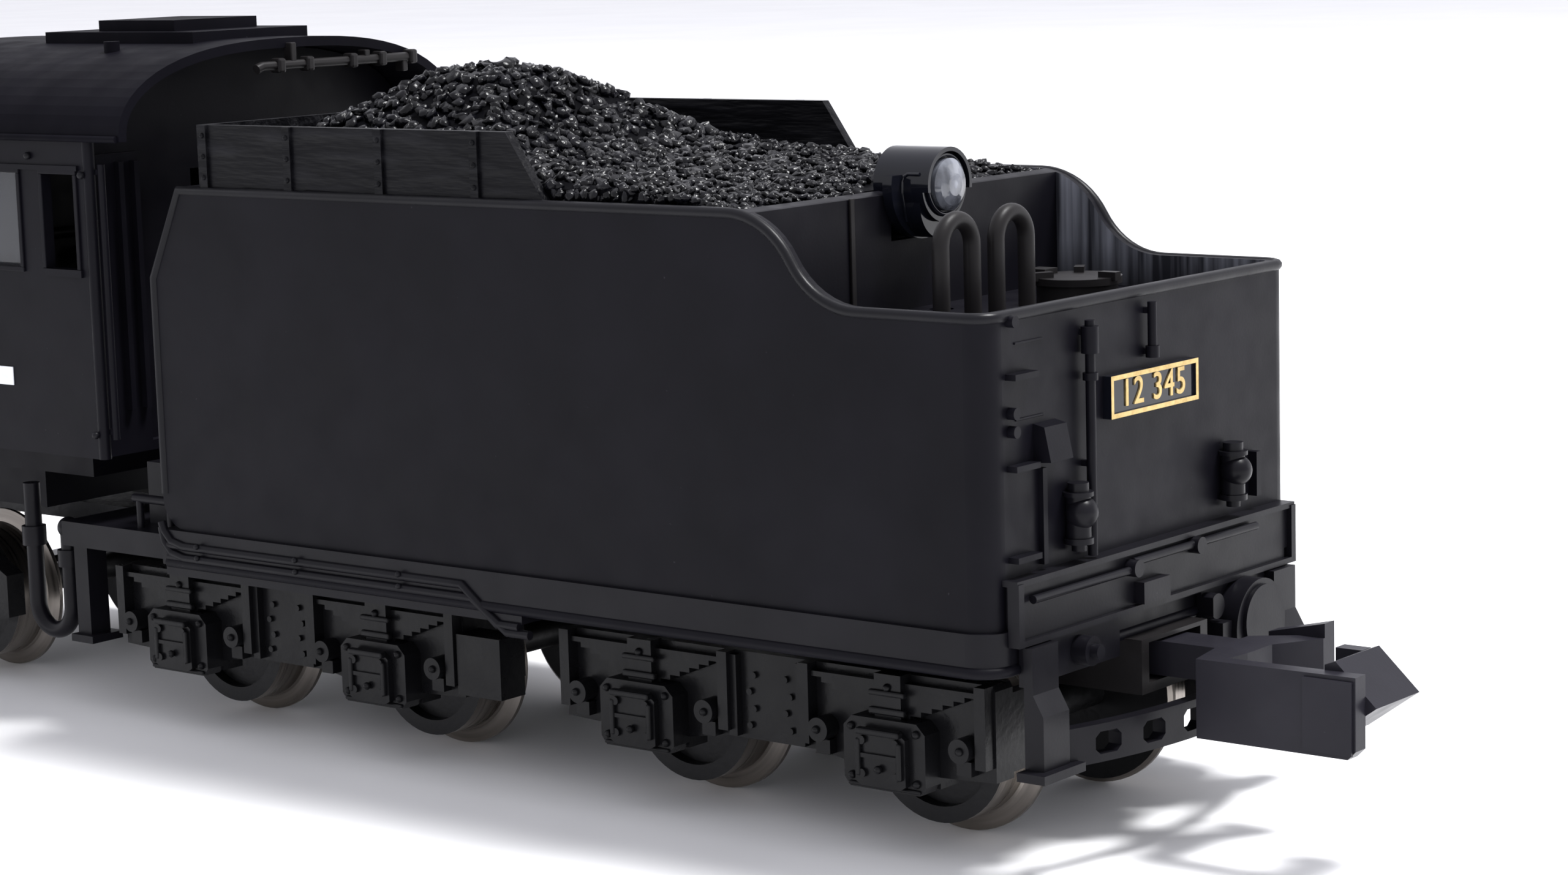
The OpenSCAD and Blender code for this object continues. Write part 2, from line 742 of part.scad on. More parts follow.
module motor() {
    color(steel) at_train() difference() {
        union() {
            intersection() {
                block(59, 69.6, -3.3, 3.3, 6.45, 12.3);
                rod_x(3.9, 59, 69.6, 0, worm_z);
            }
            rod_x(1.2, 69.6, 70.2, 0, worm_z);
        }
        rod_x(0.4 + run, 66, 71, 0, worm_z);
    }
}

module motor_shaft() {
    worm_root = 1.1;
    worm_throw = 0.25;
    turns = 4;
    worm_l = turns * worm_pitch;
    // the thread's valley faces the gear's top tooth
    color(steel) at_train() {
        rod_x(0.4, 66.5, main_driver - worm_l / 2, 0, worm_z);
        translate([main_driver - worm_l / 2, 0, worm_z]) rotate([0, 90, 0]) rotate([0, 0, 180])
            linear_extrude(worm_l, twist = -360 * turns, slices = 14 * turns, $fn = 8)
                translate([worm_throw, 0]) circle(r = worm_root, $fn = 18);
    }
}

module worm_gear() {
    half_w = 0.5;
    tip = gear_r + 0.2;
    root = gear_r - 0.35;
    color(brass) at_train() translate([main_driver, half_w, driver_r]) rotate([90, 0, 0])
        difference() {
            linear_extrude(2 * half_w) union() {
                circle(r = root);
                for (i = [0:teeth - 1]) rotate([0, 0, i * 360 / teeth])
                    polygon([[root - 0.2, -0.3], [root, -0.27], [tip, -0.1], [tip, 0.1],
                        [root, 0.27], [root - 0.2, 0.3]]);
            }
            translate([0, 0, -1]) cylinder(r = driver_axle_r, h = 3);
        }
}

// Rim, boss, counterweight and lightening holes of one driving wheel, drawn on the axle
module driver_side(crank) {
    web_y = outer_y - 0.45;
    holes = 9;
    difference() {
        rotate_extrude() polygon([[0, inner_y], [driver_r + flange_depth - 0.15, inner_y],
            [driver_r + flange_depth, inner_y + 0.12], [driver_r + flange_depth, inner_y + 0.3],
            [driver_r + 0.08, inner_y + flange_w], [driver_r, inner_y + flange_w + 0.1],
            [driver_r - 0.03, outer_y], [driver_r - 0.7, outer_y], [driver_r - 0.7, web_y],
            [1.5, web_y], [1.5, outer_y], [0, outer_y]]);
        for (i = [0:holes - 1]) let (a = crank + (i + 0.5) * 360 / holes)
            if (abs(((a - crank + 360) % 360) - 180) > 50)
                rotate([0, 0, a]) translate([2.75, 0, inner_y - 1]) cylinder(r = 0.5, h = 4);
    }
    // counterweight opposite the crank
    intersection() {
        translate([0, 0, web_y - 0.1]) cylinder(r = driver_r - 0.6, h = 0.5);
        rotate([0, 0, crank]) translate([-5, -5, 0]) cube([3.1, 10, 10]);
    }
    // crank boss and pin
    rotate([0, 0, crank]) translate([crank_r, 0, 0]) {
        translate([0, 0, web_y - 0.1]) cylinder(r = 0.8, h = 0.75);
        translate([0, 0, outer_y - 0.1]) cylinder(r = pin_r, h = side_rod_y + rod_t - outer_y + 0.15);
    }
}

// A driving axle with its two wheels; the cranks are a quarter turn apart
module driver_wheelset(x, pin_end) {
    color(dark) at_train() translate([x, 0, driver_r]) {
        rotate([90, 0, 0]) cylinder(r = driver_axle_r, h = 2 * inner_y, center = true);
        for (side = [1, -1]) let (crank = side > 0 ? left_crank : right_crank)
            mirror([0, side > 0 ? 0 : 1, 0]) rotate([-90, 0, 0]) {
                driver_side(-crank);
                rotate([0, 0, -crank]) translate([crank_r, 0, outer_y])
                    cylinder(r = pin_r, h = pin_end - outer_y);
            }
    }
}

module plain_driver(x) {
    driver_wheelset(x, side_rod_y + rod_t + 0.05);
}

// ---------------------------------------------------------------- rods and motion

// A flat rod between two eyes, drawn in x and z
module rod_outline(a, b, eye_r, bar) {
    l = norm(b - a);
    translate(a) rotate(atan2(b[1] - a[1], b[0] - a[0])) translate([0, -bar]) square([l, 2 * bar]);
    for (p = [a, b]) translate(p) circle(r = eye_r);
}

module side_rod(crank) {
    dx = crank_r * cos(crank);
    z = driver_r + crank_r * sin(crank);
    side_plate(side_rod_y, side_rod_y + rod_t) difference() {
        union() {
            rod_outline([driver_x[3] + dx, z], [driver_x[0] + dx, z], rod_r, 0.42);
            for (x = driver_x) translate([x + dx, z]) circle(r = rod_r);
        }
        for (x = driver_x) translate([x + dx, z]) circle(r = pin_r + run);
    }
}

function small_end(crank) =
    main_driver + crank_r * cos(crank)
    + sqrt(main_rod_l * main_rod_l - pow(crank_r * sin(crank), 2));

module main_rod(crank) {
    big = [main_driver + crank_r * cos(crank), driver_r + crank_r * sin(crank)];
    side_plate(main_rod_y, main_rod_y + rod_t) difference() {
        rod_outline(big, [small_end(crank), driver_r], rod_r, 0.48);
        translate(big) circle(r = pin_r + run);
    }
}

// Crosshead with its piston rod
module crosshead(crank) {
    x = small_end(crank);
    block(x - 1.2, x + 1.2, 7.6, 8.6, driver_r - slide_z + run, driver_r + slide_z - run);
    rod_y(0.45, 8.6, 8.8, x, driver_r);
    rod_x(0.3, x + 1.1, x + 8.4, cylinder_y, driver_r);
}

module cylinder_block() {
    front = 114.6;
    valve_z = 8.3;
    color(black) at_train() difference() {
        union() {
            both_sides() {
                rod_x(1.7, cylinder_back + 0.3, front - 0.3, cylinder_y, driver_r);
                rod_x(1.45, cylinder_back, front, cylinder_y, driver_r);
                rod_x(0.8, front, front + 0.4, cylinder_y, driver_r);
                rod_x(1.15, cylinder_back, front + 0.2, cylinder_y, valve_z);
                block(cylinder_back + 0.5, front - 0.5, 7, 9.5, driver_r, valve_z);
                block(cylinder_back + 0.5, front - 0.5, 3.3 + gap, 7.5, 4, 9.2);
            }
        }
        both_sides() rod_x(0.3 + run, cylinder_back - 1, 113.6, cylinder_y, driver_r);
    }
}

module valve_gear() {
    bar_front = cylinder_back;
    bar_back = 98.6;
    color(steel) at_train() both_sides() {
        for (z = [driver_r + slide_z, driver_r - slide_z - 0.4])
            block(bar_back - 0.2, bar_front, 7.7, 8.5, z, z + 0.4);
        // motion bracket
        block(bar_back - 0.8, bar_back - 0.2, 7.65, 8.55, driver_r - slide_z - 0.6, board_z);
        // expansion link with its radius rod
        side_plate(7.7, 8) polygon(concat(arc(100, 8.3, 6, 155, 205, 6),
            arc(100, 8.3, 5.3, 205, 155, 6)));
        rod_x(0.22, 94.4, cylinder_back, cylinder_y - 0.1, 8.3);
        block(93.4, 94.6, 8, 8.6, 7.7, 8.9);
        block(93.7, 94.3, 8.2, 8.55, 8.9, board_z);
    }
}

// ---------------------------------------------------------------- boiler and cab

module boiler_shell() {
    front = 118.4;
    back = 58.6;
    dome_r = 2.6;
    dome_z = 22.7;
    color(black) at_train() difference() {
        union() {
            rod_x(boiler_r, 76, front, 0, boiler_z);
            rod_x(boiler_r + 0.25, back, 76, 0, boiler_z);
            both_sides() block(back, 75.6, 4.9, 5.7, 10.4, boiler_z);
            // boiler bands
            for (x = [80.5, 86, 91.5, 97, 102.5, 108]) rod_x(boiler_r + 0.12, x, x + 0.35, 0, boiler_z);
            // sand and steam dome under one casing
            rod_x(dome_r, 86.5, 98.5, 0, dome_z);
            block(86.5, 98.5, -dome_r, dome_r, boiler_z, dome_z);
            for (x = [86.5, 98.5]) {
                translate([x, 0, dome_z]) sphere(r = dome_r);
                rod_z(dome_r, boiler_z, dome_z, x, 0);
            }
            // chimney
            rod_z(1.9, boiler_z, 23.1, 112.8, 0);
            rod_z(1.45, 22, 26, 112.8, 0);
            rod_z(1.7, 25.6, 26.2, 112.8, 0);
            // feed water heater across the smokebox
            rod_y(1.45, -4.2, 4.2, 116.5, 22.6);
            for (y = [-4.35, 4.2]) rod_y(1.1, y, y + 0.15, 116.5, 22.6);
            // safety valves, generator and whistle
            for (y = [-0.8, 0.8]) rod_z(0.4, 22, 24.2, 78.5, y);
            rod_y(0.8, -1.9, 1.9, 70, 23.6);
            block(69.6, 70.4, -0.8, 0.8, 21, 23.6);
            rod_z(0.3, 22, 24.8, 66, 0);
        }
        rod_x(boiler_r - 0.55, back - 1, 117, 0, boiler_z);
        block(back - 1, 117, -3.4, 3.4, 8, boiler_z);
        block(back - 1, 75, -4.9, 4.9, 8, boiler_z);
        rod_z(1.05, 24, 30, 112.8, 0);
    }
}

module smokebox_front() {
    x = 118.4;
    door_r = 3.9;
    dish_r = 9.4;
    color(black) at_train() {
        rod_x(boiler_r - 0.1, x, x + 0.35, 0, boiler_z);
        // door, dished outwards
        translate([x + 0.2, 0, boiler_z]) rotate([0, 90, 0]) rotate_extrude()
            polygon(concat([[0, 0]], arc(0, -dish_r + 1, dish_r, acos(door_r / dish_r), 90, 8)));
        // hinge and hand wheel
        block(x + 0.3, x + 1, 3.2, 4.4, boiler_z - 2, boiler_z - 1.5);
        block(x + 0.3, x + 1, 3.2, 4.4, boiler_z + 1.5, boiler_z + 2);
        rod_x(0.5, x + 1, x + 1.6, 0, boiler_z);
        // plain plate
        block(x + 0.9, x + 1.4, -2.2, 2.2, boiler_z + 1.1, boiler_z + 2.2);
        for (a = [0:30:330]) rod_x(0.22, x + 0.3, x + 0.6, 4.75 * cos(a), boiler_z + 4.75 * sin(a));
    }
}

module running_boards() {
    t = 0.4;
    half = 8.9;
    color(black) at_train() difference() {
        both_sides() {
            side_plate(3.4, half) polygon([[cab_front, board_z], [111.5, board_z],
                [116.4, 9.65], [122.6, 9.65], [122.6, 9.65 + t], [116.6, 9.65 + t],
                [111.7, board_z + t], [cab_front, board_z + t]]);
            // valance
            side_plate(half - 0.3, half) polygon([[cab_front, board_z - 0.5],
                [111.3, board_z - 0.5], [111.5, board_z], [cab_front, board_z]]);
        }
        rod_x(boiler_r + 0.28, 50, 76 + gap, 0, boiler_z);
        rod_x(boiler_r + gap, 70, 119, 0, boiler_z);
        for (x = [80.5, 86, 91.5, 97, 102.5, 108])
            rod_x(boiler_r + 0.15, x - gap, x + 0.35 + gap, 0, boiler_z);
        block(50, 75.7, -5.73, 5.73, 8, boiler_z);
    }
    // joint between the two front decks
    color(black) at_train() block(119.4, 122.6, -3.4, 3.4, 9.65, 9.65 + t);
}

module smoke_deflectors() {
    color(black) at_train() both_sides() {
        side_plate(8.3, 8.6) polygon([[107.5, board_z + 0.4], [107.5, 19.6], [109.4, 21],
            [118.3, 21], [119.2, 20], [119.2, 10.05 + gap], [116.65, 10.05 + gap],
            [111.75, board_z + 0.4 + gap]]);
        // stays to the smokebox
        for (x = [110.2, 116.4]) rod_y(0.18, 4.75, 8.4, x, boiler_z + 3.5);
    }
}

module front_lamp() {
    z = 24.6;
    color(dark) at_train() difference() {
        union() {
            rod_x(1.1, 117.7, 119.8, 0, z);
            block(118.75, 119.1, -0.6, 0.6, 22.1, z);
        }
        rod_x(0.95, 118.6, 121, 0, z);
    }
}

module front_lamp_lens() {
    color([0.85, 0.88, 0.95, 0.5]) at_train() translate([118.65, 0, 24.6]) rotate([0, 90, 0])
        rotate_extrude() polygon([[0, 0], [0.7, 0], [0.93, 0.8], [0.93, 1.1], [0.6, 1.3], [0, 1.38]]);
}

// Outline of the roof: height of its skin at a distance from the centre line
function roof_z(y) = eaves + roof_rise * sqrt(max(0, 1 - pow(abs(y) / (cab_half + 0.15), 2.6)));

// Arch of the roof's shape with its own half width and rise, from right to left
function roof_arch(half, rise, steps) = [for (i = [0:steps])
    let (y = half * sin(-90 + 180 * i / steps))
    [y, eaves + rise * sqrt(max(0, 1 - pow(abs(y) / half, 2.6)))]];

module cab_roof() {
    half = cab_half + 0.15;
    t = 0.4;
    color(black) at_train() {
        difference() {
            cross_plate(41.2, 59.2) polygon(concat(roof_arch(half, roof_rise, 32),
                [[half, eaves - 0.25], [-half, eaves - 0.25]]));
            cross_plate(40, 60) polygon(concat(roof_arch(half - t, roof_rise - t, 32),
                [[half - t, eaves - 1], [-half + t, eaves - 1]]));
        }
        // ventilator in two steps
        block(43.6, 52.8, -3.2, 3.2, 26.3, 26.95);
        block(45.7, 50.4, -2.3, 2.3, 26.9, 27.4);
        // lifting knob
        rod_z(0.32, roof_z(5) - 0.2, roof_z(5) + 0.4, 46.5, 5);
    }
}

module cab_shell() {
    t = 0.4;
    wall_x = cab_rear + 0.7;
    door_half = 3.2;
    top = eaves - 0.25;
    window_z0 = 17.8;
    window_z1 = 21.6;
    color(black) at_train() difference() {
        union() {
            both_sides() {
                block(cab_rear, cab_front, cab_half - t, cab_half, cab_floor, top);
                // rolled rear edge and hand rail
                rod_z(0.25, cab_floor, top, cab_rear, cab_half - 0.2);
                rod_z(0.15, 11, 22, cab_rear - 0.5, cab_half - 0.4);
                for (z = [11.2, 21.6]) block(cab_rear - 0.6, cab_rear, 8.8, 9, z, z + 0.2);
                // partition beside the gangway
                block(cab_rear + 0.2, cab_rear + 0.5, 6.4, cab_half - t, cab_floor, top - 0.6);
                for (y = [6.6, 7.4]) block(cab_rear - 0.1, cab_rear + 0.3, y, y + 0.25, 12, 22);
                // raised window frame and rain strip
                block(43.95, 46.3, cab_half, cab_half + 0.12, window_z0 - 0.3, window_z0);
                block(43.9, 52.5, cab_half, cab_half + 0.12, 21.75, 21.95);
            }
            // front and rear walls, closed up to the roof
            for (x = [wall_x, cab_front - t]) cross_plate(x, x + t)
                polygon(concat(roof_arch(cab_half - t, roof_rise - 0.45, 24),
                    [[cab_half - t, cab_floor], [-cab_half + t, cab_floor]]));
            // floor, with the drag box and the ash pan under it
            block(cab_rear + 0.2, cab_front - t, -cab_half + t, cab_half - t, cab_floor, cab_floor + 0.4);
            block(46.8, 57.8, -7, 7, 8.9, cab_floor + 0.1);
            block(52.6, 57.8, -4.8, 4.8, 6.8, 9);
        }
        both_sides() {
            block(44.2, 46.1, 8, 10, window_z0, window_z1);
            block(47.7, 51.6, 8, 10, window_z0, window_z1);
            // front windows
            block(55, 60, 5.7, 8.3, 17.6, 22);
        }
        // boiler opening
        rod_x(boiler_r - 0.6, 57, 60, 0, boiler_z);
        // gangway to the tender, under a straight lintel
        block(wall_x - 1, wall_x + 1, -door_half, door_half, cab_floor + 0.4, 21.4);
    }
}

module cab_windows() {
    color([0.7, 0.75, 0.8, 0.4]) at_train() both_sides() {
        block(47.4, 51.9, cab_half - 0.55, cab_half - 0.4 - gap, 17.5, 21.9);
        block(cab_front - 0.55, cab_front - 0.4 - gap, 5.5, 8.5, 17.4, 22.2);
    }
}

module cab_backhead() {
    x = 55.4;
    color(dark) at_train() {
        rod_x(boiler_r - 0.7, x, cab_front, 0, boiler_z);
        block(x, cab_front - 0.4 - gap, -4.4, 4.4, cab_floor + 0.4, boiler_z);
        // fire door, gauges and valves
        rod_x(1.2, x - 0.3, x, 0, 14);
        for (y = [-1.6, 1.6]) rod_x(0.6, x - 0.35, x, y, 19.6);
        for (y = [-3, 0, 3]) rod_x(0.35, x - 0.8, x, y, 17.2);
        rod_y(0.25, -3.4, 3.4, x - 0.5, 18.2);
        for (y = [-3, 3]) rod_x(0.2, x - 0.5, x, y, 18.2);
        // seats
        for (y = [-7, 7]) block(50, 52.4, y - 1.1, y + 1.1, cab_floor + 0.4, 14.2);
    }
}

module pilot_beam() {
    color(black) at_train() {
        difference() {
            block(121.4, 122.6, -8.8, 8.8, 6.8, 9.65);
            block(121, 123, -1, 1, 6, 7.3);
        }
        // steps and guard irons
        both_sides() {
            block(120.6, 121.4, 7.6, 8.6, 3.2, 7.4);
            block(120.2, 122, 7.3, 8.9, 3, 3.3);
            side_plate(5, 5.6) polygon([[121.8, 7], [122.5, 7], [123.4, 1.6], [122.8, 1.6]]);
        }
        // buffer-beam pipe
        rod_y(0.25, -6, 6, 122.8, 8.6);
    }
}

module front_coupler() {
    z = 5.9;
    color([0.2, 0.2, 0.22]) at_train() {
        block(119.9, 124.6, -0.75, 0.75, z - 0.4, z + 0.65);
        block(124.6, 126.2, -1.3, 1.3, z - 0.8, z + 0.9);
        rod_z(0.8, z - 0.8, z + 0.9, train_front - 0.8, 0.7);
        block(126, 126.8, -1.3, -0.6, z - 0.8, z + 0.9);
    }
}

module boiler_pipes() {
    color(dark) at_train() {
        both_sides() {
            // hand rail along the boiler on its stanchions
            rod_x(0.16, 60, 118, 6.5, 19.2);
            for (x = [62, 74, 88, 101, 114]) rod_y(0.14, x < 76 ? 5.62 : 5.32, 6.5, x, 19.2);
            // sand and injector pipes
            for (x = [78, 92]) rod_z(0.16, board_z + 0.4, boiler_z + 1.6, x, 5.9);
            // pipe along the running board
            rod_x(0.22, 76.5, 104, 5.8, board_z + 0.62);
        }
        // air compressor on the left, feed pump on the right
        for (z = [[12.8, 15.2, 1.15], [15.2, 15.9, 0.7], [15.9, 18, 1.05]])
            rod_z(z[2], z[0], z[1], 97, 7.5);
        for (z = [[12.8, 14.8, 0.95], [14.8, 15.4, 0.6], [15.4, 17.2, 0.95]])
            rod_z(z[2], z[0], z[1], 95, -7.5);
        // main air tanks under the boards
        both_sides() rod_x(1.15, 86, 91.5, 7.6, 11.1);
    }
}

// ---------------------------------------------------------------- carrying trucks

module lead_truck_frame() {
    pin = lead_pin;
    color(dark) at_train() difference() {
        union() {
            block(pin, lead_x, -1.5, 1.5, 1.1, 1.9);
            rod_z(1.5, 1.1, 1.9, pin, 0);
            block(lead_x - 1.2, lead_x + 1.2, -3, 3, 1.1, 3.9);
        }
        rod_z(0.6 + run, 0, 3, pin, 0);
        rod_y(small_axle_r + run, -4, 4, lead_x, small_r);
    }
}

module trail_truck_frame() {
    pin = trail_pin;
    color(black) at_train() difference() {
        union() {
            block(60.4, pin, -1.5, 1.5, 2.1, 2.9);
            rod_z(1.5, 2.1, 2.9, pin, 0);
            block(60.4, 61.6, -7.2, 7.2, 2.1, 2.9);
            both_sides() {
                side_plate(6.3, 7.2) polygon([[52.6, 2.4], [54.6, 2], [58.4, 2], [60.4, 2.1],
                    [61.6, 2.1], [61.6, 4.4], [58.4, 5.2], [54.6, 5.2], [52.6, 4.2]]);
                side_plate(7.2, 7.9) polygon([[55.2, 1.7], [57.8, 1.7], [57.8, 4],
                    [57.4, 4.3], [55.6, 4.3], [55.2, 4]]);
            }
        }
        rod_z(0.6 + run, 1, 4, pin, 0);
        both_sides() rod_y(0.4 + run, 5, journal_tip + run, trail_x, small_r);
    }
}

tender_shell();
bunker_boards();
coal_load();
tender_chassis();
tender_weight();
tail_light_board();
tail_lamp_housing();
tail_lamp_lens();
tank_hoops();
water_hatch();
rear_fittings();
marker_lamps();
number_plate();
rear_beam();
rear_steps();
bogie_screws();
coupler_pocket();
coupler_spring();
rear_coupler();
front_bogie_frame();
rear_bogie_frame();
tender_wheelset(rear_pivot - bogie_base / 2);  // tender_wheelset_1
tender_wheelset(rear_pivot + bogie_base / 2);  // tender_wheelset_2
tender_wheelset(front_pivot - bogie_base / 2);  // tender_wheelset_3
tender_wheelset(front_pivot + bogie_base / 2);  // tender_wheelset_4
drawbar();
loco_frame();
keeper_plate();
boiler_shell();
smokebox_front();
running_boards();
smoke_deflectors();
front_lamp();
front_lamp_lens();
cab_shell();
cab_roof();
cab_windows();
cab_backhead();
cylinder_block();
pilot_beam();
front_coupler();
valve_gear();
boiler_pipes();
motor();
motor_shaft();
plain_driver(driver_x[0]);  // driver_wheelset_1
plain_driver(driver_x[1]);  // driver_wheelset_2
driver_wheelset(main_driver, main_rod_y + rod_t + 0.1);  // driver_wheelset_3
plain_driver(driver_x[3]);  // driver_wheelset_4
worm_gear();
color(steel) at_train() side_rod(left_crank);  // left_side_rod
color(steel) at_train() mirror([0, 1, 0]) side_rod(right_crank);  // right_side_rod
color(steel) at_train() main_rod(left_crank);  // left_main_rod
color(steel) at_train() mirror([0, 1, 0]) main_rod(right_crank);  // right_main_rod
color(steel) at_train() crosshead(left_crank);  // left_crosshead
color(steel) at_train() mirror([0, 1, 0]) crosshead(right_crank);  // right_crosshead
lead_truck_frame();
wheelset(lead_x, small_r, small_axle_r, 0.4, outer_y + 0.1, outer_y - 0.5);  // lead_wheelset
trail_truck_frame();
wheelset(trail_x, small_r, small_axle_r, 0.4, journal_tip, outer_y - 0.5);  // trail_wheelset
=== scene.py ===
"""Looks of the small-gauge steam locomotive with its coal tender.

Places are written in train millimetres: x forwards from the tender's rear wall, y to the left of
the centre line and z up from the rail tops. at() turns them into the frame's metres.
"""
import math
import random

import bmesh
import bpy
from mathutils import Matrix, Vector
from mathutils.bvhtree import BVHTree


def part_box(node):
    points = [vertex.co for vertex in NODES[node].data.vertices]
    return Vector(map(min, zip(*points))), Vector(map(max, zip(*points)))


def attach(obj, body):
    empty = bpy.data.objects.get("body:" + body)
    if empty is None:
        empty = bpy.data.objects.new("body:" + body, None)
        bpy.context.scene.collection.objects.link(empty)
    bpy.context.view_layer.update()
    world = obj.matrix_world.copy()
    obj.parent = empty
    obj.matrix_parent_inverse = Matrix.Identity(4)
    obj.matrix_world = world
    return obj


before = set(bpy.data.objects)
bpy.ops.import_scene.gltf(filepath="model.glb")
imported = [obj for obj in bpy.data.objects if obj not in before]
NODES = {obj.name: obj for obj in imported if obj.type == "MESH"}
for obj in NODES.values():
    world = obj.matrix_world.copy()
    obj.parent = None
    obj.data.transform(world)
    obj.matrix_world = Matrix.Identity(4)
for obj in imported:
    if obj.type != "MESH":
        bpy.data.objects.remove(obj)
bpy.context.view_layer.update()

MM = 0.001
FLANGE = 0.6                            # depth of the wheel flanges, below the rail tops
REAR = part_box("tender_shell")[0].x      # tender's rear wall


def at(x, y, z):
    """A place in train millimetres, as a point of the frame in metres."""
    return Vector((REAR + x * MM, y * MM, (z + FLANGE) * MM))


def train_box(node):
    """Lowest and highest corners of a CAD node in train millimetres, to a hundredth."""
    return [(round((p.x - REAR) / MM, 2), round(p.y / MM, 2), round(p.z / MM - FLANGE, 2))
            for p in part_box(node)]


# front of the tank, its half width and the height of its rim beside the coal
TANK_FRONT, TANK_HALF, RIM_HIGH = train_box("tender_shell")[1]
RIM_LOW = 18.2                          # rim of the tank around the well
SHOULDER_REAR = 5.2                     # where the rim's shoulder starts and ends
SHOULDER_FRONT = 10.6
CORNER = 0.9                            # radius of the tank's upright corners
SKIRT_BOT = 6.4
COAL_REAR = 10.6                        # rows of loose coal, the rearmost and the foremost
COAL_FRONT = 36.1
BOARD_TOE = train_box("bunker_boards")[0][0]    # rear end of the coal boards
BOLT_STRAPS = (22.2, 27, 31.8, 36.4)    # straps of the coal boards
BOGIE_HALF = 5.5                        # from a bogie's pivot to either axle
REAR_PIVOT = 10.5
FRONT_PIVOT = 34.7
LAMP_FRONT = 8.35                       # tail lamp: rear end of its barrel and height of its axis
LAMP_Z = 21.45
LAMP_RADIUS = 1.33
LAMP_LOW_RADIUS = 1.2                   # of the deep part under the barrel
LAMP_LOW_Z = 20.75
CAB_SIDE = 9.3                          # outer face of the cab's side
BOILER_Z = 17
SMOKEBOX_RADIUS = 5.72


# ------------------------------------------------------------------ materials


class Surface:
    """A Principled material with a few helpers for its procedural nodes."""

    def __init__(self, name, color, roughness, metallic=0.0, specular=0.5):
        self.mat = bpy.data.materials.new(name)
        self.mat.use_nodes = True
        self.tree = self.mat.node_tree
        self.shader = self.tree.nodes["Principled BSDF"]
        self.shader.inputs["Base Color"].default_value = (*color, 1)
        self.shader.inputs["Roughness"].default_value = roughness
        self.shader.inputs["Metallic"].default_value = metallic
        self.shader.inputs["Specular IOR Level"].default_value = specular
        self.coords = self.tree.nodes.new("ShaderNodeTexCoord").outputs["Object"]

    def stretched(self, scale):
        """Object coordinates, scaled apart along each axis."""
        node = self.tree.nodes.new("ShaderNodeMapping")
        node.inputs["Scale"].default_value = scale
        self.tree.links.new(self.coords, node.inputs["Vector"])
        return node.outputs["Vector"]

    def noise(self, scale, detail=4.0, stretch=(1, 1, 1)):
        """Noise whose features are about 1/scale metres wide."""
        node = self.tree.nodes.new("ShaderNodeTexNoise")
        node.inputs["Scale"].default_value = scale
        node.inputs["Detail"].default_value = detail
        self.tree.links.new(self.stretched(stretch), node.inputs["Vector"])
        return node.outputs["Fac"]

    def ramp(self, value, low, high, at_low, at_high):
        """Maps a value between low and high to a colour."""
        node = self.tree.nodes.new("ShaderNodeValToRGB")
        node.color_ramp.elements[0].position = low
        node.color_ramp.elements[0].color = (*at_low, 1)
        node.color_ramp.elements[1].position = high
        node.color_ramp.elements[1].color = (*at_high, 1)
        self.tree.links.new(value, node.inputs["Fac"])
        return node.outputs["Color"]

    def height(self, low, high):
        """0 below train height low and 1 above train height high."""
        split = self.tree.nodes.new("ShaderNodeSeparateXYZ")
        self.tree.links.new(self.coords, split.inputs["Vector"])
        node = self.tree.nodes.new("ShaderNodeMapRange")
        node.inputs["From Min"].default_value = (low + FLANGE) * MM
        node.inputs["From Max"].default_value = (high + FLANGE) * MM
        self.tree.links.new(split.outputs["Z"], node.inputs["Value"])
        return node.outputs["Result"]

    def span(self, value, low, high):
        """Maps a value between 0.3 and 0.7 to the span from low to high."""
        node = self.tree.nodes.new("ShaderNodeMapRange")
        node.inputs["From Min"].default_value = 0.3
        node.inputs["From Max"].default_value = 0.7
        node.inputs["To Min"].default_value = low
        node.inputs["To Max"].default_value = high
        self.tree.links.new(value, node.inputs["Value"])
        return node.outputs["Result"]

    def mix(self, factor, first, second):
        """The first colour where factor is 0 and the second where it is 1."""
        node = self.tree.nodes.new("ShaderNodeMix")
        node.data_type = "RGBA"
        self.tree.links.new(factor, node.inputs["Factor"])
        self.tree.links.new(first, node.inputs["A"])
        self.tree.links.new(second, node.inputs["B"])
        return node.outputs["Result"]

    def color_from(self, color):
        self.tree.links.new(color, self.shader.inputs["Base Color"])

    def roughness_from(self, value):
        self.tree.links.new(value, self.shader.inputs["Roughness"])

    def bump(self, height, depth, strength=1.0):
        """Raises the surface by depth metres where height is 1."""
        node = self.tree.nodes.new("ShaderNodeBump")
        node.inputs["Strength"].default_value = strength
        node.inputs["Distance"].default_value = depth
        self.tree.links.new(height, node.inputs["Height"])
        self.tree.links.new(node.outputs["Normal"], self.shader.inputs["Normal"])


def satin_plastic(name, color, roughness, fine=9000, depth=4e-6, specular=0.08):
    """Moulded and sprayed plastic: a fine grain, faint cloudiness and a few specks of dust."""
    s = Surface(name, color, roughness, specular=specular)
    lighter = tuple(c * 1.4 + 0.0003 for c in color)
    clouds = s.ramp(s.noise(220, 3), 0.35, 0.7, color, lighter)
    dust = tuple(c * 2 + 0.012 for c in color)
    speck_mask = s.ramp(s.noise(5200, 1), 0.81, 0.85, (0, 0, 0), (1, 1, 1))
    dusty = s.ramp(s.noise(40, 1), 0.0, 1.0, dust, dust)    # one colour, as a socket for mix()
    s.color_from(s.mix(speck_mask, clouds, dusty))
    s.roughness_from(s.span(s.noise(700, 5), roughness - 0.06, roughness + 0.08))
    s.bump(s.noise(fine, 3), depth, 0.6)
    return s.mat


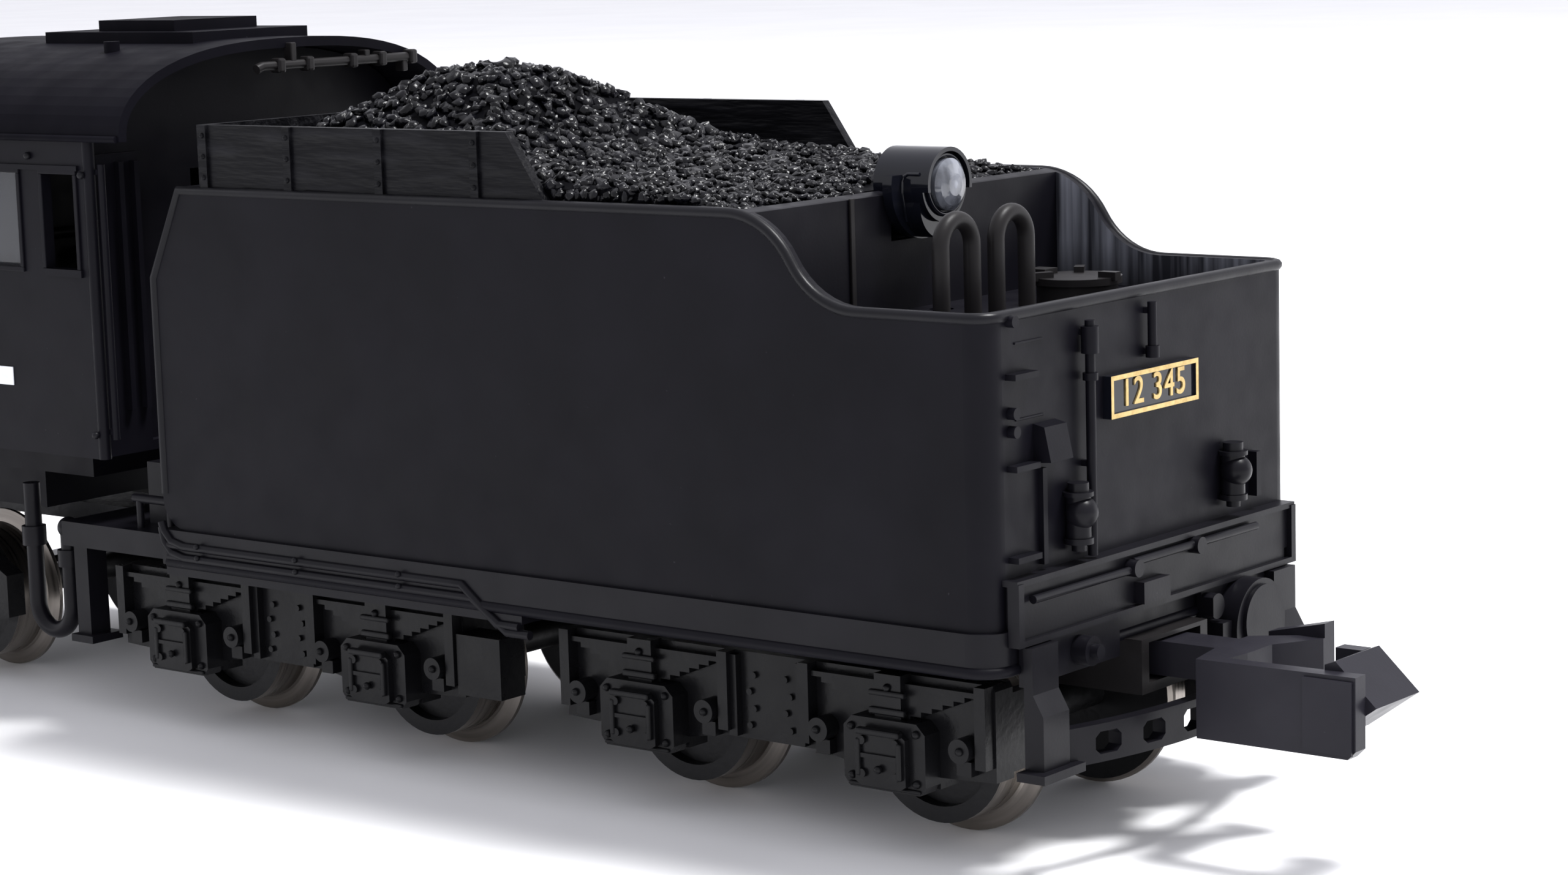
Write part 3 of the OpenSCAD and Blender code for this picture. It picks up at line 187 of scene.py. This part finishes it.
def streaked_sheet():
    """Inside of the tank walls: upright brushing streaks in the sheet, painted light grey near the
    rim as a painted sheen that fades towards the deck.
    """
    base = (0.006, 0.006, 0.008)
    s = Surface("inner_sheet", base, 0.45, specular=0.15)
    streaks = s.noise(2400, 6, stretch=(1, 1, 0.04))
    # painted sheen: the streaks are coloured light grey for the upper walls
    sheen_streaks = s.ramp(streaks, 0.38, 0.72, (0.024, 0.025, 0.031), (0.24, 0.25, 0.29))
    plain = s.ramp(streaks, 0.4, 0.75, base, (0.012, 0.012, 0.016))
    # painted sheen: plain dark streaks up to 16.6 mm, and light grey sheen streaks from 18.6 mm up
    # to the rim
    s.color_from(s.mix(s.height(16.6, 18.6), plain, sheen_streaks))
    s.roughness_from(s.span(streaks, 0.36, 0.55))
    s.bump(streaks, 8e-6, 0.7)
    return s.mat


def plank_plastic():
    """Coal boards: moulded planks with a shallow wavy grain along x."""
    base = (0.0035, 0.0035, 0.0045)
    s = Surface("plank_black", base, 0.4, specular=0.09)
    grain = s.noise(1900, 3, stretch=(0.16, 1, 1))
    s.color_from(s.ramp(grain, 0.5, 0.8, base, (0.012, 0.012, 0.0145)))
    s.roughness_from(s.span(grain, 0.28, 0.46))
    s.bump(grain, 1.4e-4, 1.0)
    return s.mat


def gloss_black():
    """Polished lamp housings and the ground of the number plate."""
    s = Surface("gloss_black", (0.005, 0.0055, 0.009), 0.1, specular=0.3)
    s.roughness_from(s.span(s.noise(900, 3), 0.06, 0.14))
    s.bump(s.noise(1600, 2), 4e-6, 0.5)
    return s.mat


def coal_black():
    """Glossy chips whose facets differ in tone and polish."""
    s = Surface("coal_black", (0.0022, 0.0022, 0.0036), 0.2, specular=0.2)
    tone = s.noise(1500, 2)
    s.color_from(s.ramp(tone, 0.35, 0.7, (0.0008, 0.0008, 0.0014), (0.0036, 0.0036, 0.0056)))
    s.roughness_from(s.span(s.noise(1700, 3), 0.12, 0.34))
    s.bump(s.noise(4200, 4), 6e-5, 0.9)
    return s.mat


def polished_metal(name, color, roughness, stretch=(0.02, 1, 0.02)):
    """Turned or drawn metal with fine lines; stretch squashes the directions they run in."""
    s = Surface(name, color, roughness, metallic=1.0)
    lines = s.noise(9000, 3, stretch=stretch)
    s.color_from(s.ramp(lines, 0.3, 0.75, tuple(c * 0.6 for c in color), color))
    s.roughness_from(s.span(lines, roughness - 0.06, roughness + 0.12))
    s.bump(lines, 3e-6, 0.6)
    return s.mat


def cast_metal(name, color, roughness):
    """Blackened or bare casting with a coarse grain."""
    s = Surface(name, color, roughness, metallic=0.6)
    grain = s.noise(4200, 5)
    s.color_from(s.ramp(grain, 0.3, 0.7, tuple(c * 0.7 for c in color), color))
    s.roughness_from(s.span(grain, roughness - 0.08, roughness + 0.1))
    s.bump(grain, 1.2e-5, 0.8)
    return s.mat


def brass():
    """Printed or bare brass, unevenly worn."""
    s = Surface("brass_print", (0.5, 0.36, 0.14), 0.36, metallic=0.7)
    wear = s.noise(3800, 4)
    s.color_from(s.ramp(wear, 0.35, 0.75, (0.4, 0.28, 0.1), (0.62, 0.46, 0.2)))
    s.roughness_from(s.span(wear, 0.26, 0.45))
    s.bump(wear, 6e-6, 0.6)
    return s.mat


def clear_lens():
    """Unlit lamp glass with darker bands inside it."""
    s = Surface("clear_lens", (0.4, 0.42, 0.48), 0.06, specular=0.8)
    s.shader.inputs["Transmission Weight"].default_value = 0.5
    s.shader.inputs["IOR"].default_value = 1.49
    bands = s.noise(1500, 2, stretch=(1, 1, 0.25))
    s.color_from(s.ramp(bands, 0.35, 0.65, (0.03, 0.033, 0.04), (0.35, 0.37, 0.43)))
    s.roughness_from(s.span(s.noise(1800, 3), 0.03, 0.14))
    s.bump(s.noise(2400, 2), 3e-5, 0.7)
    return s.mat


def window_clear():
    """Thin glazing with faint ripples."""
    s = Surface("window_clear", (0.2, 0.21, 0.24), 0.08, specular=0.2)
    s.shader.inputs["Transmission Weight"].default_value = 0.9
    s.shader.inputs["IOR"].default_value = 1.45
    s.roughness_from(s.span(s.noise(600, 3), 0.04, 0.14))
    s.bump(s.noise(500, 2), 1e-5, 0.4)
    return s.mat


def board_green():
    """Circuit board with copper tracks under its green varnish."""
    s = Surface("board_green", (0.02, 0.12, 0.05), 0.35)
    tracks = s.noise(1400, 1, stretch=(1, 0.3, 1))
    s.color_from(s.ramp(tracks, 0.48, 0.52, (0.015, 0.09, 0.04), (0.05, 0.2, 0.08)))
    s.roughness_from(s.span(s.noise(2500, 3), 0.25, 0.45))
    s.bump(tracks, 2e-5, 0.6)
    return s.mat


def white_print():
    """Matt white ink."""
    s = Surface("white_print", (0.8, 0.82, 0.86), 0.45)
    s.color_from(s.ramp(s.noise(3000, 4), 0.3, 0.7, (0.7, 0.73, 0.78), (0.9, 0.92, 0.95)))
    s.bump(s.noise(6000, 2), 5e-6, 0.5)
    return s.mat


def pale_floor():
    """Plain pale floor, barely mottled."""
    s = Surface("pale_floor", (0.83, 0.83, 0.84), 0.6)
    s.color_from(s.ramp(s.noise(30, 4), 0.3, 0.7, (0.81, 0.81, 0.82), (0.85, 0.85, 0.855)))
    s.roughness_from(s.span(s.noise(160, 3), 0.55, 0.7))
    return s.mat


NODE_BEVEL = 0.05    # width of the softened edges of the CAD nodes

MAT = {
    "body": satin_plastic("satin_black", (0.0034, 0.0032, 0.005), 0.4),
    "roof": satin_plastic("roof_black", (0.0032, 0.003, 0.0048), 0.58, specular=0.03),
    "bogie": satin_plastic("bogie_black", (0.0036, 0.0036, 0.0042), 0.3, fine=3600, depth=2e-5,
                           specular=0.14),
    "beam": satin_plastic("beam_black", (0.0042, 0.004, 0.0056), 0.34, specular=0.12),
    "trim": satin_plastic("trim_grey", (0.009, 0.0082, 0.0086), 0.38, specular=0.14),
    "hook": satin_plastic("hook_grey", (0.0115, 0.011, 0.0148), 0.34, specular=0.13),
    "rim": satin_plastic("rim_black", (0.0046, 0.0045, 0.006), 0.38, specular=0.14),
    "inner": streaked_sheet(),
    "planks": plank_plastic(),
    "gloss": gloss_black(),
    "coal": coal_black(),
    "coal_bed": satin_plastic("coal_bed", (0.0012, 0.0012, 0.0018), 0.6, fine=2600, depth=6e-5,
                              specular=0.02),
    "tread": polished_metal("tread_metal", (0.33, 0.3, 0.27), 0.3),
    "rods": polished_metal("rod_metal", (0.4, 0.4, 0.41), 0.32, stretch=(0.05, 1, 1)),
    "wheel_face": cast_metal("wheel_face", (0.012, 0.012, 0.013), 0.42),
    "frame": cast_metal("frame_metal", (0.02, 0.02, 0.022), 0.45),
    "ballast": cast_metal("ballast_metal", (0.25, 0.25, 0.26), 0.5),
    "brass": brass(),
    "lens": clear_lens(),
    "window": window_clear(),
    "board": board_green(),
    "white": white_print(),
}

NODE_MATERIALS = {
    "body": ["tender_shell", "rear_fittings", "boiler_shell", "smokebox_front", "cab_shell",
             "smoke_deflectors", "cylinder_block"],
    "roof": ["cab_roof", "running_boards"],
    "beam": ["tender_chassis", "rear_beam", "rear_steps", "pilot_beam", "keeper_plate",
             "marker_lamps"],
    "bogie": ["front_bogie_frame", "rear_bogie_frame", "trail_truck_frame", "lead_truck_frame"],
    "trim": ["tank_hoops", "water_hatch", "coupler_pocket", "drawbar", "cab_backhead",
             "boiler_pipes"],
    "hook": ["rear_coupler", "front_coupler"],
    "planks": ["bunker_boards"],
    "gloss": ["tail_lamp_housing", "front_lamp"],
    "coal_bed": ["coal_load"],
    "rods": ["left_side_rod", "right_side_rod", "left_main_rod", "right_main_rod", "valve_gear",
             "left_crosshead", "right_crosshead", "coupler_spring", "bogie_screws"],
    "tread": ["motor_shaft"],
    "wheel_face": ["tender_wheelset_1", "tender_wheelset_2", "tender_wheelset_3",
                   "tender_wheelset_4", "lead_wheelset", "trail_wheelset", "driver_wheelset_1",
                   "driver_wheelset_2", "driver_wheelset_3", "driver_wheelset_4"],
    "frame": ["loco_frame", "motor"],
    "ballast": ["tender_weight"],
    "brass": ["worm_gear", "number_plate"],
    "lens": ["tail_lamp_lens", "front_lamp_lens"],
    "window": ["cab_windows"],
    "board": ["tail_light_board"],
}


def soften(obj, width):
    """Rounds an object's sharp edges with a bevel."""
    bevel = obj.modifiers.new("soft_edges", "BEVEL")
    bevel.width = width * MM
    bevel.segments = 2
    bevel.limit_method = "ANGLE"
    return bevel


def dress(node, material):
    """Gives a CAD node its material and softens its edges."""
    obj = NODES[node]
    obj.data.materials.clear()
    obj.data.materials.append(material)
    for face in obj.data.polygons:
        face.material_index = 0
    soften(obj, NODE_BEVEL).angle_limit = math.radians(38)


def paint_faces(node, material, test):
    """Gives the faces that pass the test, which takes centre and normal, another material."""
    obj = NODES[node]
    obj.data.materials.append(material)
    index = len(obj.data.materials) - 1
    for face in obj.data.polygons:
        if test(face.center, face.normal):
            face.material_index = index


# ------------------------------------------------------------------ piece builders


def finish_piece(obj, body, material, bevel=0.0):
    """Puts a new piece into the scene, on its body and in its colour slot."""
    bpy.context.scene.collection.objects.link(obj)
    obj.data.materials.append(material)
    if bevel:
        soften(obj, bevel)
    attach(obj, body)


def tube(name, points, radius, body, material, closed=False):
    """A round wire through train points."""
    curve = bpy.data.curves.new(name, "CURVE")
    curve.dimensions = "3D"
    curve.bevel_depth = radius * MM
    curve.bevel_resolution = 3
    curve.use_fill_caps = True
    spline = curve.splines.new("POLY")
    spline.points.add(len(points) - 1)
    for point, place in zip(spline.points, points):
        point.co = (*at(*place), 1)
    spline.use_cyclic_u = closed
    spline.use_smooth = True
    finish_piece(bpy.data.objects.new(name, curve), body, material)


def blocks(name, boxes, body, material, bevel=0.05):
    """Bevelled bars and plates, each given by its train corners."""
    bm = bmesh.new()
    for x0, x1, y0, y1, z0, z1 in boxes:
        low, high = at(x0, y0, z0), at(x1, y1, z1)
        size = high - low
        place = Matrix.Translation((low + high) / 2) @ Matrix.Diagonal((*size, 1))
        bmesh.ops.create_cube(bm, size=1, matrix=place)
    mesh = bpy.data.meshes.new(name)
    bm.to_mesh(mesh)
    bm.free()
    finish_piece(bpy.data.objects.new(name, mesh), body, material, bevel)


def rivets(name, places, radius, body, material):
    """Small domes, centred on train points."""
    bm = bmesh.new()
    for place in places:
        bmesh.ops.create_icosphere(
            bm, subdivisions=2, radius=radius * MM, matrix=Matrix.Translation(at(*place))
        )
    for face in bm.faces:
        face.smooth = True
    mesh = bpy.data.meshes.new(name)
    bm.to_mesh(mesh)
    bm.free()
    finish_piece(bpy.data.objects.new(name, mesh), body, material)


def mirrored(places):
    """The places and their twins on the right of the train."""
    return list(places) + [(x, -y, z) for x, y, z in places]


# ------------------------------------------------------------------ tender tank


def ogee(x0, z0, x1, z1, steps):
    """Two equal arcs that lead from one level to another; steps is the number in each."""
    a = 2 * math.atan((z1 - z0) / (x1 - x0))
    r = (x1 - x0) / (2 * math.sin(a))
    first = [(x0 + r * math.sin(a * i / steps), z0 + r * (1 - math.cos(a * i / steps)))
             for i in range(steps + 1)]
    second = [(x1 - r * math.sin(a * i / steps), z1 - r * (1 - math.cos(a * i / steps)))
              for i in range(steps - 1, -1, -1)]
    return first + second


def corner_arc(x, y, radius, z, first):
    """Points of a quarter turn about x and y, from the left side (step 0) to the rear wall."""
    steps = 6
    turns = [math.radians(90 * i / steps) for i in range(first, steps + 1)]
    return [(x - radius * math.sin(a), y + radius * math.cos(a), z) for a in turns]


def tank_rim():
    """Half-round bead along the top edges of the tank and down its front edges."""
    radius = 0.2
    drop = 0.14     # of the bead's axis below the rim
    inset = 0.08    # of the axis inside the outer face
    front = TANK_FRONT - 0.12
    side = [(front, 9.2), (front, 17.7), (TANK_FRONT - 1.8, RIM_HIGH - drop)]
    shoulder = ogee(SHOULDER_REAR, RIM_LOW, SHOULDER_FRONT, RIM_HIGH, 10)
    side += [(x, z - drop) for x, z in reversed(shoulder)]
    path = [(x, TANK_HALF - inset, z) for x, z in side]
    path += corner_arc(CORNER, TANK_HALF - CORNER, CORNER - inset, RIM_LOW - drop, 0)
    path += [(x, -y, z) for x, y, z in reversed(path)]
    tube("tank_rim", path, radius, "tender", MAT["rim"])


def skirt_bead():
    """Rounded lip along the bottom of the skirt, which stands a little outside the tank."""
    radius = 0.2
    out = 0.2
    inset = 0.05
    front = 39.4
    y = TANK_HALF + out
    z = SKIRT_BOT + 0.1
    bend = CORNER + out
    path = [(front, y - inset, z), (bend - out, y - inset, z)]
    path += corner_arc(bend - out, y - bend, bend - inset, z, 1)
    path += [(x, -py, pz) for x, py, pz in reversed(path)]
    tube("skirt_bead", path, radius, "tender", MAT["body"])


def skirt_pipes():
    """Two pipes that follow the skirt, bend down at the back and round the corner in front."""
    radius = 0.17
    y = TANK_HALF + 0.22
    for index, (z, bend, drop, rise) in enumerate([(7.2, 23.9, 1.3, 0.9), (6.75, 23.4, 1.1, 1.15)]):
        path = [(bend - 3.3, y, z - drop), (bend - 2.2, y, z - drop), (bend - 0.5, y, z),
                (bend, y, z), (38.4, y, z), (39.1, y, z + 0.15), (39.5, y, z + 0.55),
                (39.62, y, z + rise)]
        for side in (1, -1):
            sided = [(px, py * side, pz) for px, py, pz in path]
            tube(f"skirt_pipe_{index}_{side}", sided, radius, "tender", MAT["beam"])


def inner_faces(centre, normal):
    """Faces of the tank walls that look inwards above its deck."""
    deck = 16.6
    inside = 8.5    # less than the half width between the side walls
    ahead = 1.1     # more than the thickness of the rear wall
    z = centre.z / MM - FLANGE
    facing_in = centre.y * normal.y < 0 and abs(normal.y) > 0.6
    side = facing_in and abs(centre.y) > inside * MM
    rear = normal.x > 0.3 and centre.x < REAR + ahead * MM
    return z > deck and (side or rear)


def coal_prototype(rng):
    """A chip of coal: the hull of points on a flattened ball."""
    corners = 13
    bm = bmesh.new()
    for _ in range(corners):
        v = Vector((rng.uniform(-1, 1), rng.uniform(-1, 1), rng.uniform(-1, 1)))
        v = v.normalized() * rng.uniform(0.85, 1.05)
        bm.verts.new((v.x, v.y * 0.8, v.z * 0.6))
    hull = bmesh.ops.convex_hull(bm, input=bm.verts)
    loose = [v for v in hull["geom_interior"] if isinstance(v, bmesh.types.BMVert)]
    bmesh.ops.delete(bm, geom=loose, context="VERTS")
    bm.verts.index_update()
    verts = [v.co.copy() for v in bm.verts]
    faces = [[v.index for v in f.verts] for f in bm.faces]
    bm.free()
    return verts, faces


def under_lamp(x, y):
    """Whether a place on the coal is hidden by the tail lamp."""
    return x < 11.6 and abs(y) < 1.75


def coal_seat(tree, x, y):
    """Point and normal of the load below a place; beside the load, on the edge of its top."""
    above = 40
    edge = RIM_HIGH + 0.2
    hit, normal, _, _ = tree.ray_cast(at(x, y, above), Vector((0, 0, -1)))
    if hit is None and x <= BOARD_TOE:
        hit, normal, _, _ = tree.find_nearest(at(x, y, edge))
    return hit, normal


def coal_lumps():
    """Loose coal over the whole load: coarse on the heap, fine towards the rear wall."""
    stray = 0.25                    # how far a lump lies from its place in the rows
    heap_foot, heap_rise = 14, 9    # where the coal starts to coarsen, and over what length
    rng = random.Random(5)
    shapes = [coal_prototype(rng) for _ in range(14)]
    load = NODES["coal_load"].data
    tree = BVHTree.FromPolygons([v.co for v in load.vertices], [p.vertices for p in load.polygons])
    verts, faces = [], []
    x = COAL_REAR
    while x < COAL_FRONT:
        coarse = min(1.0, max(0.0, (x - heap_foot) / heap_rise))
        spacing = 0.34 + 0.08 * coarse
        y = -TANK_HALF
        while y < TANK_HALF:
            px = x + rng.uniform(-stray, stray)
            py = y + rng.uniform(-stray, stray)
            y += spacing * rng.uniform(0.8, 1.1)
            if under_lamp(px, py):
                continue
            hit, normal = coal_seat(tree, px, py)
            if hit is None:
                continue
            size = rng.uniform(0.24, 0.33) + coarse * rng.uniform(0.02, 0.2)
            place = hit + normal * rng.uniform(-0.12, 0.14) * MM
            lean = normal + Vector((rng.gauss(0, 0.45), rng.gauss(0, 0.45), 0))
            spin = Matrix.Rotation(rng.uniform(0, 6.28), 3, "Z")
            turn = lean.to_track_quat("Z", "Y").to_matrix() @ spin
            shape, shape_faces = rng.choice(shapes)
            base = len(verts)
            verts.extend(place + turn @ v * size * MM for v in shape)
            faces.extend([base + i for i in f] for f in shape_faces)
        x += spacing * 0.9
    mesh = bpy.data.meshes.new("coal_lumps")
    mesh.from_pydata(verts, [], faces)
    mesh.shade_smooth()
    finish_piece(bpy.data.objects.new("coal_lumps", mesh), "tender", MAT["coal"])


def plate_digits():
    """Plain digits on the plate, in the same metal as its border."""
    plate_face = -0.27
    plate_z = 14.74
    curve = bpy.data.curves.new("plate_digits", "FONT")
    curve.body = "12 345"
    curve.align_x = "CENTER"
    curve.align_y = "CENTER"
    curve.size = 1.32 * MM
    curve.extrude = 0.03 * MM
    curve.offset = 0.012 * MM
    curve.space_character = 1.12
    obj = bpy.data.objects.new("plate_digits", curve)
    across, up, out = Vector((0, -1, 0)), Vector((0, 0, 1)), Vector((-1, 0, 0))
    turn = Matrix((across, up, out)).transposed().to_4x4()
    obj.matrix_world = Matrix.Translation(at(plate_face, 0, plate_z)) @ turn
    finish_piece(obj, "tender", MAT["brass"])


def off_plate_front(centre, normal):
    """Every face of the number plate but the front of its border."""
    border = 0.33   # the border stands further than this from the wall
    return not (normal.x < -0.9 and centre.x < REAR - border * MM)


def rear_wall_details():
    """Weld seams on the rear wall, and a strip on the wall across the well."""
    blocks("wall_strip", [(9.6, 9.7, 3.6, 3.85, 17.0, 21.2)], "tender",
           MAT["trim"], 0.03)
    seams = [(-0.05, 0.02, 6.3, 7.9, z, z + 0.08) for z in (17.1, 14.6)]
    blocks("rear_seams", seams, "tender", MAT["body"], 0.02)


def board_rivets():
    """Bolt heads on the straps of the coal boards."""
    y = TANK_HALF - 0.04
    places = [(x, y, z) for x in BOLT_STRAPS for z in (21.7, 22.5, 23.3)]
    rivets("board_bolts", mirrored(places), 0.11, "tender", MAT["planks"])


def lamp_cheek(z):
    """Half width of the tail lamp's housing at a height: its barrel or the deep part below."""
    barrel = math.sqrt(max(0, LAMP_RADIUS ** 2 - (z - LAMP_Z) ** 2))
    deep = math.sqrt(max(0, LAMP_LOW_RADIUS ** 2 - min(0, z - LAMP_LOW_Z) ** 2))
    return max(barrel, deep)


def lamp_details():
    """Rim of the tail lamp and the raised edge that runs along its cheeks and down."""
    reach = 1.06    # radius of the rim
    steps = 40
    turns = [2 * math.pi * i / steps for i in range(steps)]
    rim = [(LAMP_FRONT - 0.04, reach * math.cos(a), LAMP_Z + reach * math.sin(a)) for a in turns]
    tube("tail_lamp_rim", rim, 0.09, "tender", MAT["gloss"], closed=True)
    edge = ((8.5, 21.88), (9.0, 21.88), (9.15, 21.8), (9.22, 21.6), (9.25, 21.2), (9.25, 20.6),
            (9.25, 20.2))
    for side in (1, -1):
        tube(f"tail_lamp_edge_{side}", [(x, side * lamp_cheek(z), z) for x, z in edge], 0.07,
             "tender", MAT["gloss"])


# Bars cast on an axle box of the left side, each by its corners, with x from the axle.
BOX_BARS = (
    (-0.9, 0.9, 8.9, 9.2, 3.75, 3.98),
    (-0.95, -0.75, 8.9, 9.16, 2.3, 3.6),
    (0.75, 0.95, 8.9, 9.16, 2.3, 3.6),
    (-1.5, 1.5, 8.6, 8.85, 1.85, 2.0),
    (-0.75, 0.75, 8.4, 8.62, 4.35, 4.6),
    (-0.75, 0.75, 8.4, 8.62, 5.0, 5.2),
)
# Bolt heads on and beside the same axle box, with x from the axle.
BOX_DOMES = (
    (-1.35, 8.78, 3.9),
    (1.35, 8.78, 3.9),
    (-1.35, 8.78, 2.2),
    (1.35, 8.78, 2.2),
    (0, 9.12, 2.6),
    (0, 8.52, 5.3),
    (-3.0, 8.62, 3.5),
    (3.0, 8.62, 3.5),
)


def box_bars(axle, side):
    """The bars of one axle box, each by its train corners."""
    bars = []
    for x0, x1, y0, y1, z0, z1 in BOX_BARS:
        low_y, high_y = sorted((side * y0, side * y1))
        bars.append((axle + x0, axle + x1, low_y, high_y, z0, z1))
    return bars


def box_castings():
    """Lugs, covers and clamps cast on the axle boxes and spring buckles of both bogies."""
    for name, pivot in (("rear_bogie", REAR_PIVOT), ("front_bogie", FRONT_PIVOT)):
        bars, domes = [], []
        for axle in (pivot - BOGIE_HALF, pivot + BOGIE_HALF):
            for side in (1, -1):
                bars += box_bars(axle, side)
                domes += [(axle + x, side * y, z) for x, y, z in BOX_DOMES]
        blocks(name + "_castings", bars, name, MAT["bogie"], 0.06)
        rivets(name + "_domes", domes, 0.15, name, MAT["bogie"])


def pipe_clamps():
    """Small saddles over the pipes of the skirt."""
    places = [(x, TANK_HALF + 0.38, z) for x in (26.5, 32, 37.5) for z in (7.3, 6.85)]
    rivets("pipe_clamps", mirrored(places), 0.12, "tender", MAT["rim"])


# ------------------------------------------------------------------ wheels


def paint_treads():
    """Bright treads and flanges on every wheel; the faces stay black."""
    rim = 0.75      # depth of the bright ring, from the flange inwards
    for node in NODE_MATERIALS["wheel_face"]:
        low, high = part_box(node)
        axis = (low + high) / 2
        inner = (high.z - low.z) / 2 - rim * MM

        def tread(centre, normal, axis=axis, inner=inner):
            out = Vector((centre.x - axis.x, 0, centre.z - axis.z))
            return out.length > inner and out.dot(normal) > 0.3 * out.length

        paint_faces(node, MAT["tread"], tread)


# ------------------------------------------------------------------ cab and engine


def window_frame(x0, x1, z0, z1):
    """Four bars round a side window of the cab, on the left."""
    wide = 0.2
    low, high = CAB_SIDE - 0.05, CAB_SIDE + 0.1
    return [(x0 - wide, x1 + wide, low, high, z1, z1 + wide),
            (x0 - wide, x1 + wide, low, high, z0 - wide, z0),
            (x0 - wide, x0, low, high, z0, z1),
            (x1, x1 + wide, low, high, z0, z1)]


def cab_details():
    """Window frames, fastenings, gutters and a plain white plate on each side of the cab."""
    sill, head = 17.8, 21.6
    frames = window_frame(44.2, 46.1, sill, head) + window_frame(47.7, 51.6, sill, head)
    frames += [(x0, x1, -y1, -y0, z0, z1) for x0, x1, y0, y1, z0, z1 in frames]
    blocks("cab_window_frames", frames, "locomotive", MAT["body"], 0.03)
    plates = [(48.65, 50.3, CAB_SIDE, CAB_SIDE + 0.06, 12.9, 13.65),
              (48.65, 50.3, -CAB_SIDE - 0.06, -CAB_SIDE, 12.9, 13.65)]
    blocks("cab_plates", plates, "locomotive", MAT["white"], 0.02)
    handles = [(43.6, 9.45, 11.2), (43.6, 9.45, 21.6), (46.9, 9.36, 22.3), (58.1, 9.36, 22.3)]
    rivets("cab_fastenings", mirrored(handles), 0.16, "locomotive", MAT["rim"])
    for name, y in (("cab_gutter_left", 9.5), ("cab_gutter_right", -9.5)):
        tube(name, [(41.3, y, 23.05), (59.1, y, 23.05)], 0.14, "locomotive",
             MAT["roof"])


def roof_pipe():
    """Water pipe with its unions, across the rear edge of the cab roof."""
    x, z = 41.0, 25.5
    left, right = 2.2, -6.6
    tube("roof_pipe", [(x, left, z - 0.1), (x, left - 0.3, z), (x, right + 0.3, z),
                       (x, right, z - 0.1)], 0.2, "locomotive", MAT["trim"])
    unions = [(x - 0.3, x + 0.3, y - 0.2, y + 0.2, z - 0.3, z + 0.3)
              for y in (1.0, -0.6, -3.1, -4.8, right)]
    blocks("roof_pipe_unions", unions, "locomotive", MAT["trim"], 0.1)
    hangers = [(x - 0.12, 41.35, y - 0.15, y + 0.15, low, high)
               for y, low, high in ((0.2, z, 26.4), (-4, z, 25.9), (-6.2, 24.9, z))]
    blocks("roof_pipe_hangers", hangers, "locomotive", MAT["trim"], 0.05)


def engine_details():
    """Rivet rows on the running-board valances and the smokebox."""
    row = [(60 + 1.7 * i, 8.92, 12.15) for i in range(30)]
    rivets("valance_rivets", mirrored(row), 0.08, "locomotive", MAT["body"])
    turns = [math.radians(20 + 10 * i) for i in range(15)]
    band = [(110, SMOKEBOX_RADIUS * math.cos(a), BOILER_Z + SMOKEBOX_RADIUS * math.sin(a))
            for a in turns]
    rivets("smokebox_rivets", band, 0.1, "locomotive", MAT["body"])


# ------------------------------------------------------------------ stage


def floor():
    """A wide plain floor at the height of the wheel flanges."""
    bm = bmesh.new()
    bmesh.ops.create_grid(bm, x_segments=2, y_segments=2, size=6)
    mesh = bpy.data.meshes.new("floor")
    bm.to_mesh(mesh)
    bm.free()
    obj = bpy.data.objects.new("floor", mesh)
    obj.data.materials.append(pale_floor())
    bpy.context.scene.collection.objects.link(obj)


def area_light(name, place, target, size, power):
    """A rectangular lamp that faces its target; places and sizes are in metres."""
    light = bpy.data.lights.new(name, "AREA")
    light.shape = "RECTANGLE"
    light.size = size[0]
    light.size_y = size[1]
    light.energy = power
    obj = bpy.data.objects.new(name, light)
    obj.location = place
    obj.rotation_euler = (Vector(target) - Vector(place)).to_track_quat("-Z", "Y").to_euler()
    bpy.context.scene.collection.objects.link(obj)


def studio():
    """Bright, nearly white surroundings, a small lamp above and a weak one behind."""
    world = bpy.data.worlds.new("studio")
    bpy.context.scene.world = world
    world.use_nodes = True
    background = world.node_tree.nodes["Background"]
    background.inputs["Color"].default_value = (0.94, 0.94, 1, 1)
    background.inputs["Strength"].default_value = 1.07
    bpy.context.scene.view_settings.view_transform = "Standard"
    middle = (-0.04, 0, 0.012)
    area_light("top_key", (-0.2, -0.12, 0.5), middle, (0.12, 0.12), 5)
    area_light("rear_soft", (-0.35, -0.45, 0.12), middle, (0.3, 0.2), 0.24)


def camera():
    """Behind the tender on its left, level with the lamp."""
    place = at(-63.49, 99.04, 31.19)
    yaw, pitch, roll = math.radians(38.73), math.radians(8.668), math.radians(-1.64)
    forward = Vector((math.sin(yaw) * math.cos(pitch), -math.cos(yaw) * math.cos(pitch),
                      -math.sin(pitch)))
    level = forward.cross(Vector((0, 0, 1))).normalized()
    above = level.cross(forward)
    right = level * math.cos(roll) + above * math.sin(roll)
    up = above * math.cos(roll) - level * math.sin(roll)
    data = bpy.data.cameras.new("camera")
    data.lens = 79.47
    data.sensor_width = 36
    data.clip_start = 0.005
    obj = bpy.data.objects.new("camera", data)
    turn = Matrix((right, up, -forward)).transposed().to_4x4()
    obj.matrix_world = Matrix.Translation(place) @ turn
    bpy.context.scene.collection.objects.link(obj)
    bpy.context.scene.camera = obj


for key, names in NODE_MATERIALS.items():
    for node_name in names:
        dress(node_name, MAT[key])
paint_faces("tender_shell", MAT["inner"], inner_faces)
paint_faces("number_plate", MAT["gloss"], off_plate_front)
paint_treads()
tank_rim()
skirt_bead()
skirt_pipes()
coal_lumps()
plate_digits()
rear_wall_details()
board_rivets()
lamp_details()
box_castings()
pipe_clamps()
cab_details()
roof_pipe()
engine_details()
camera()
studio()
floor()
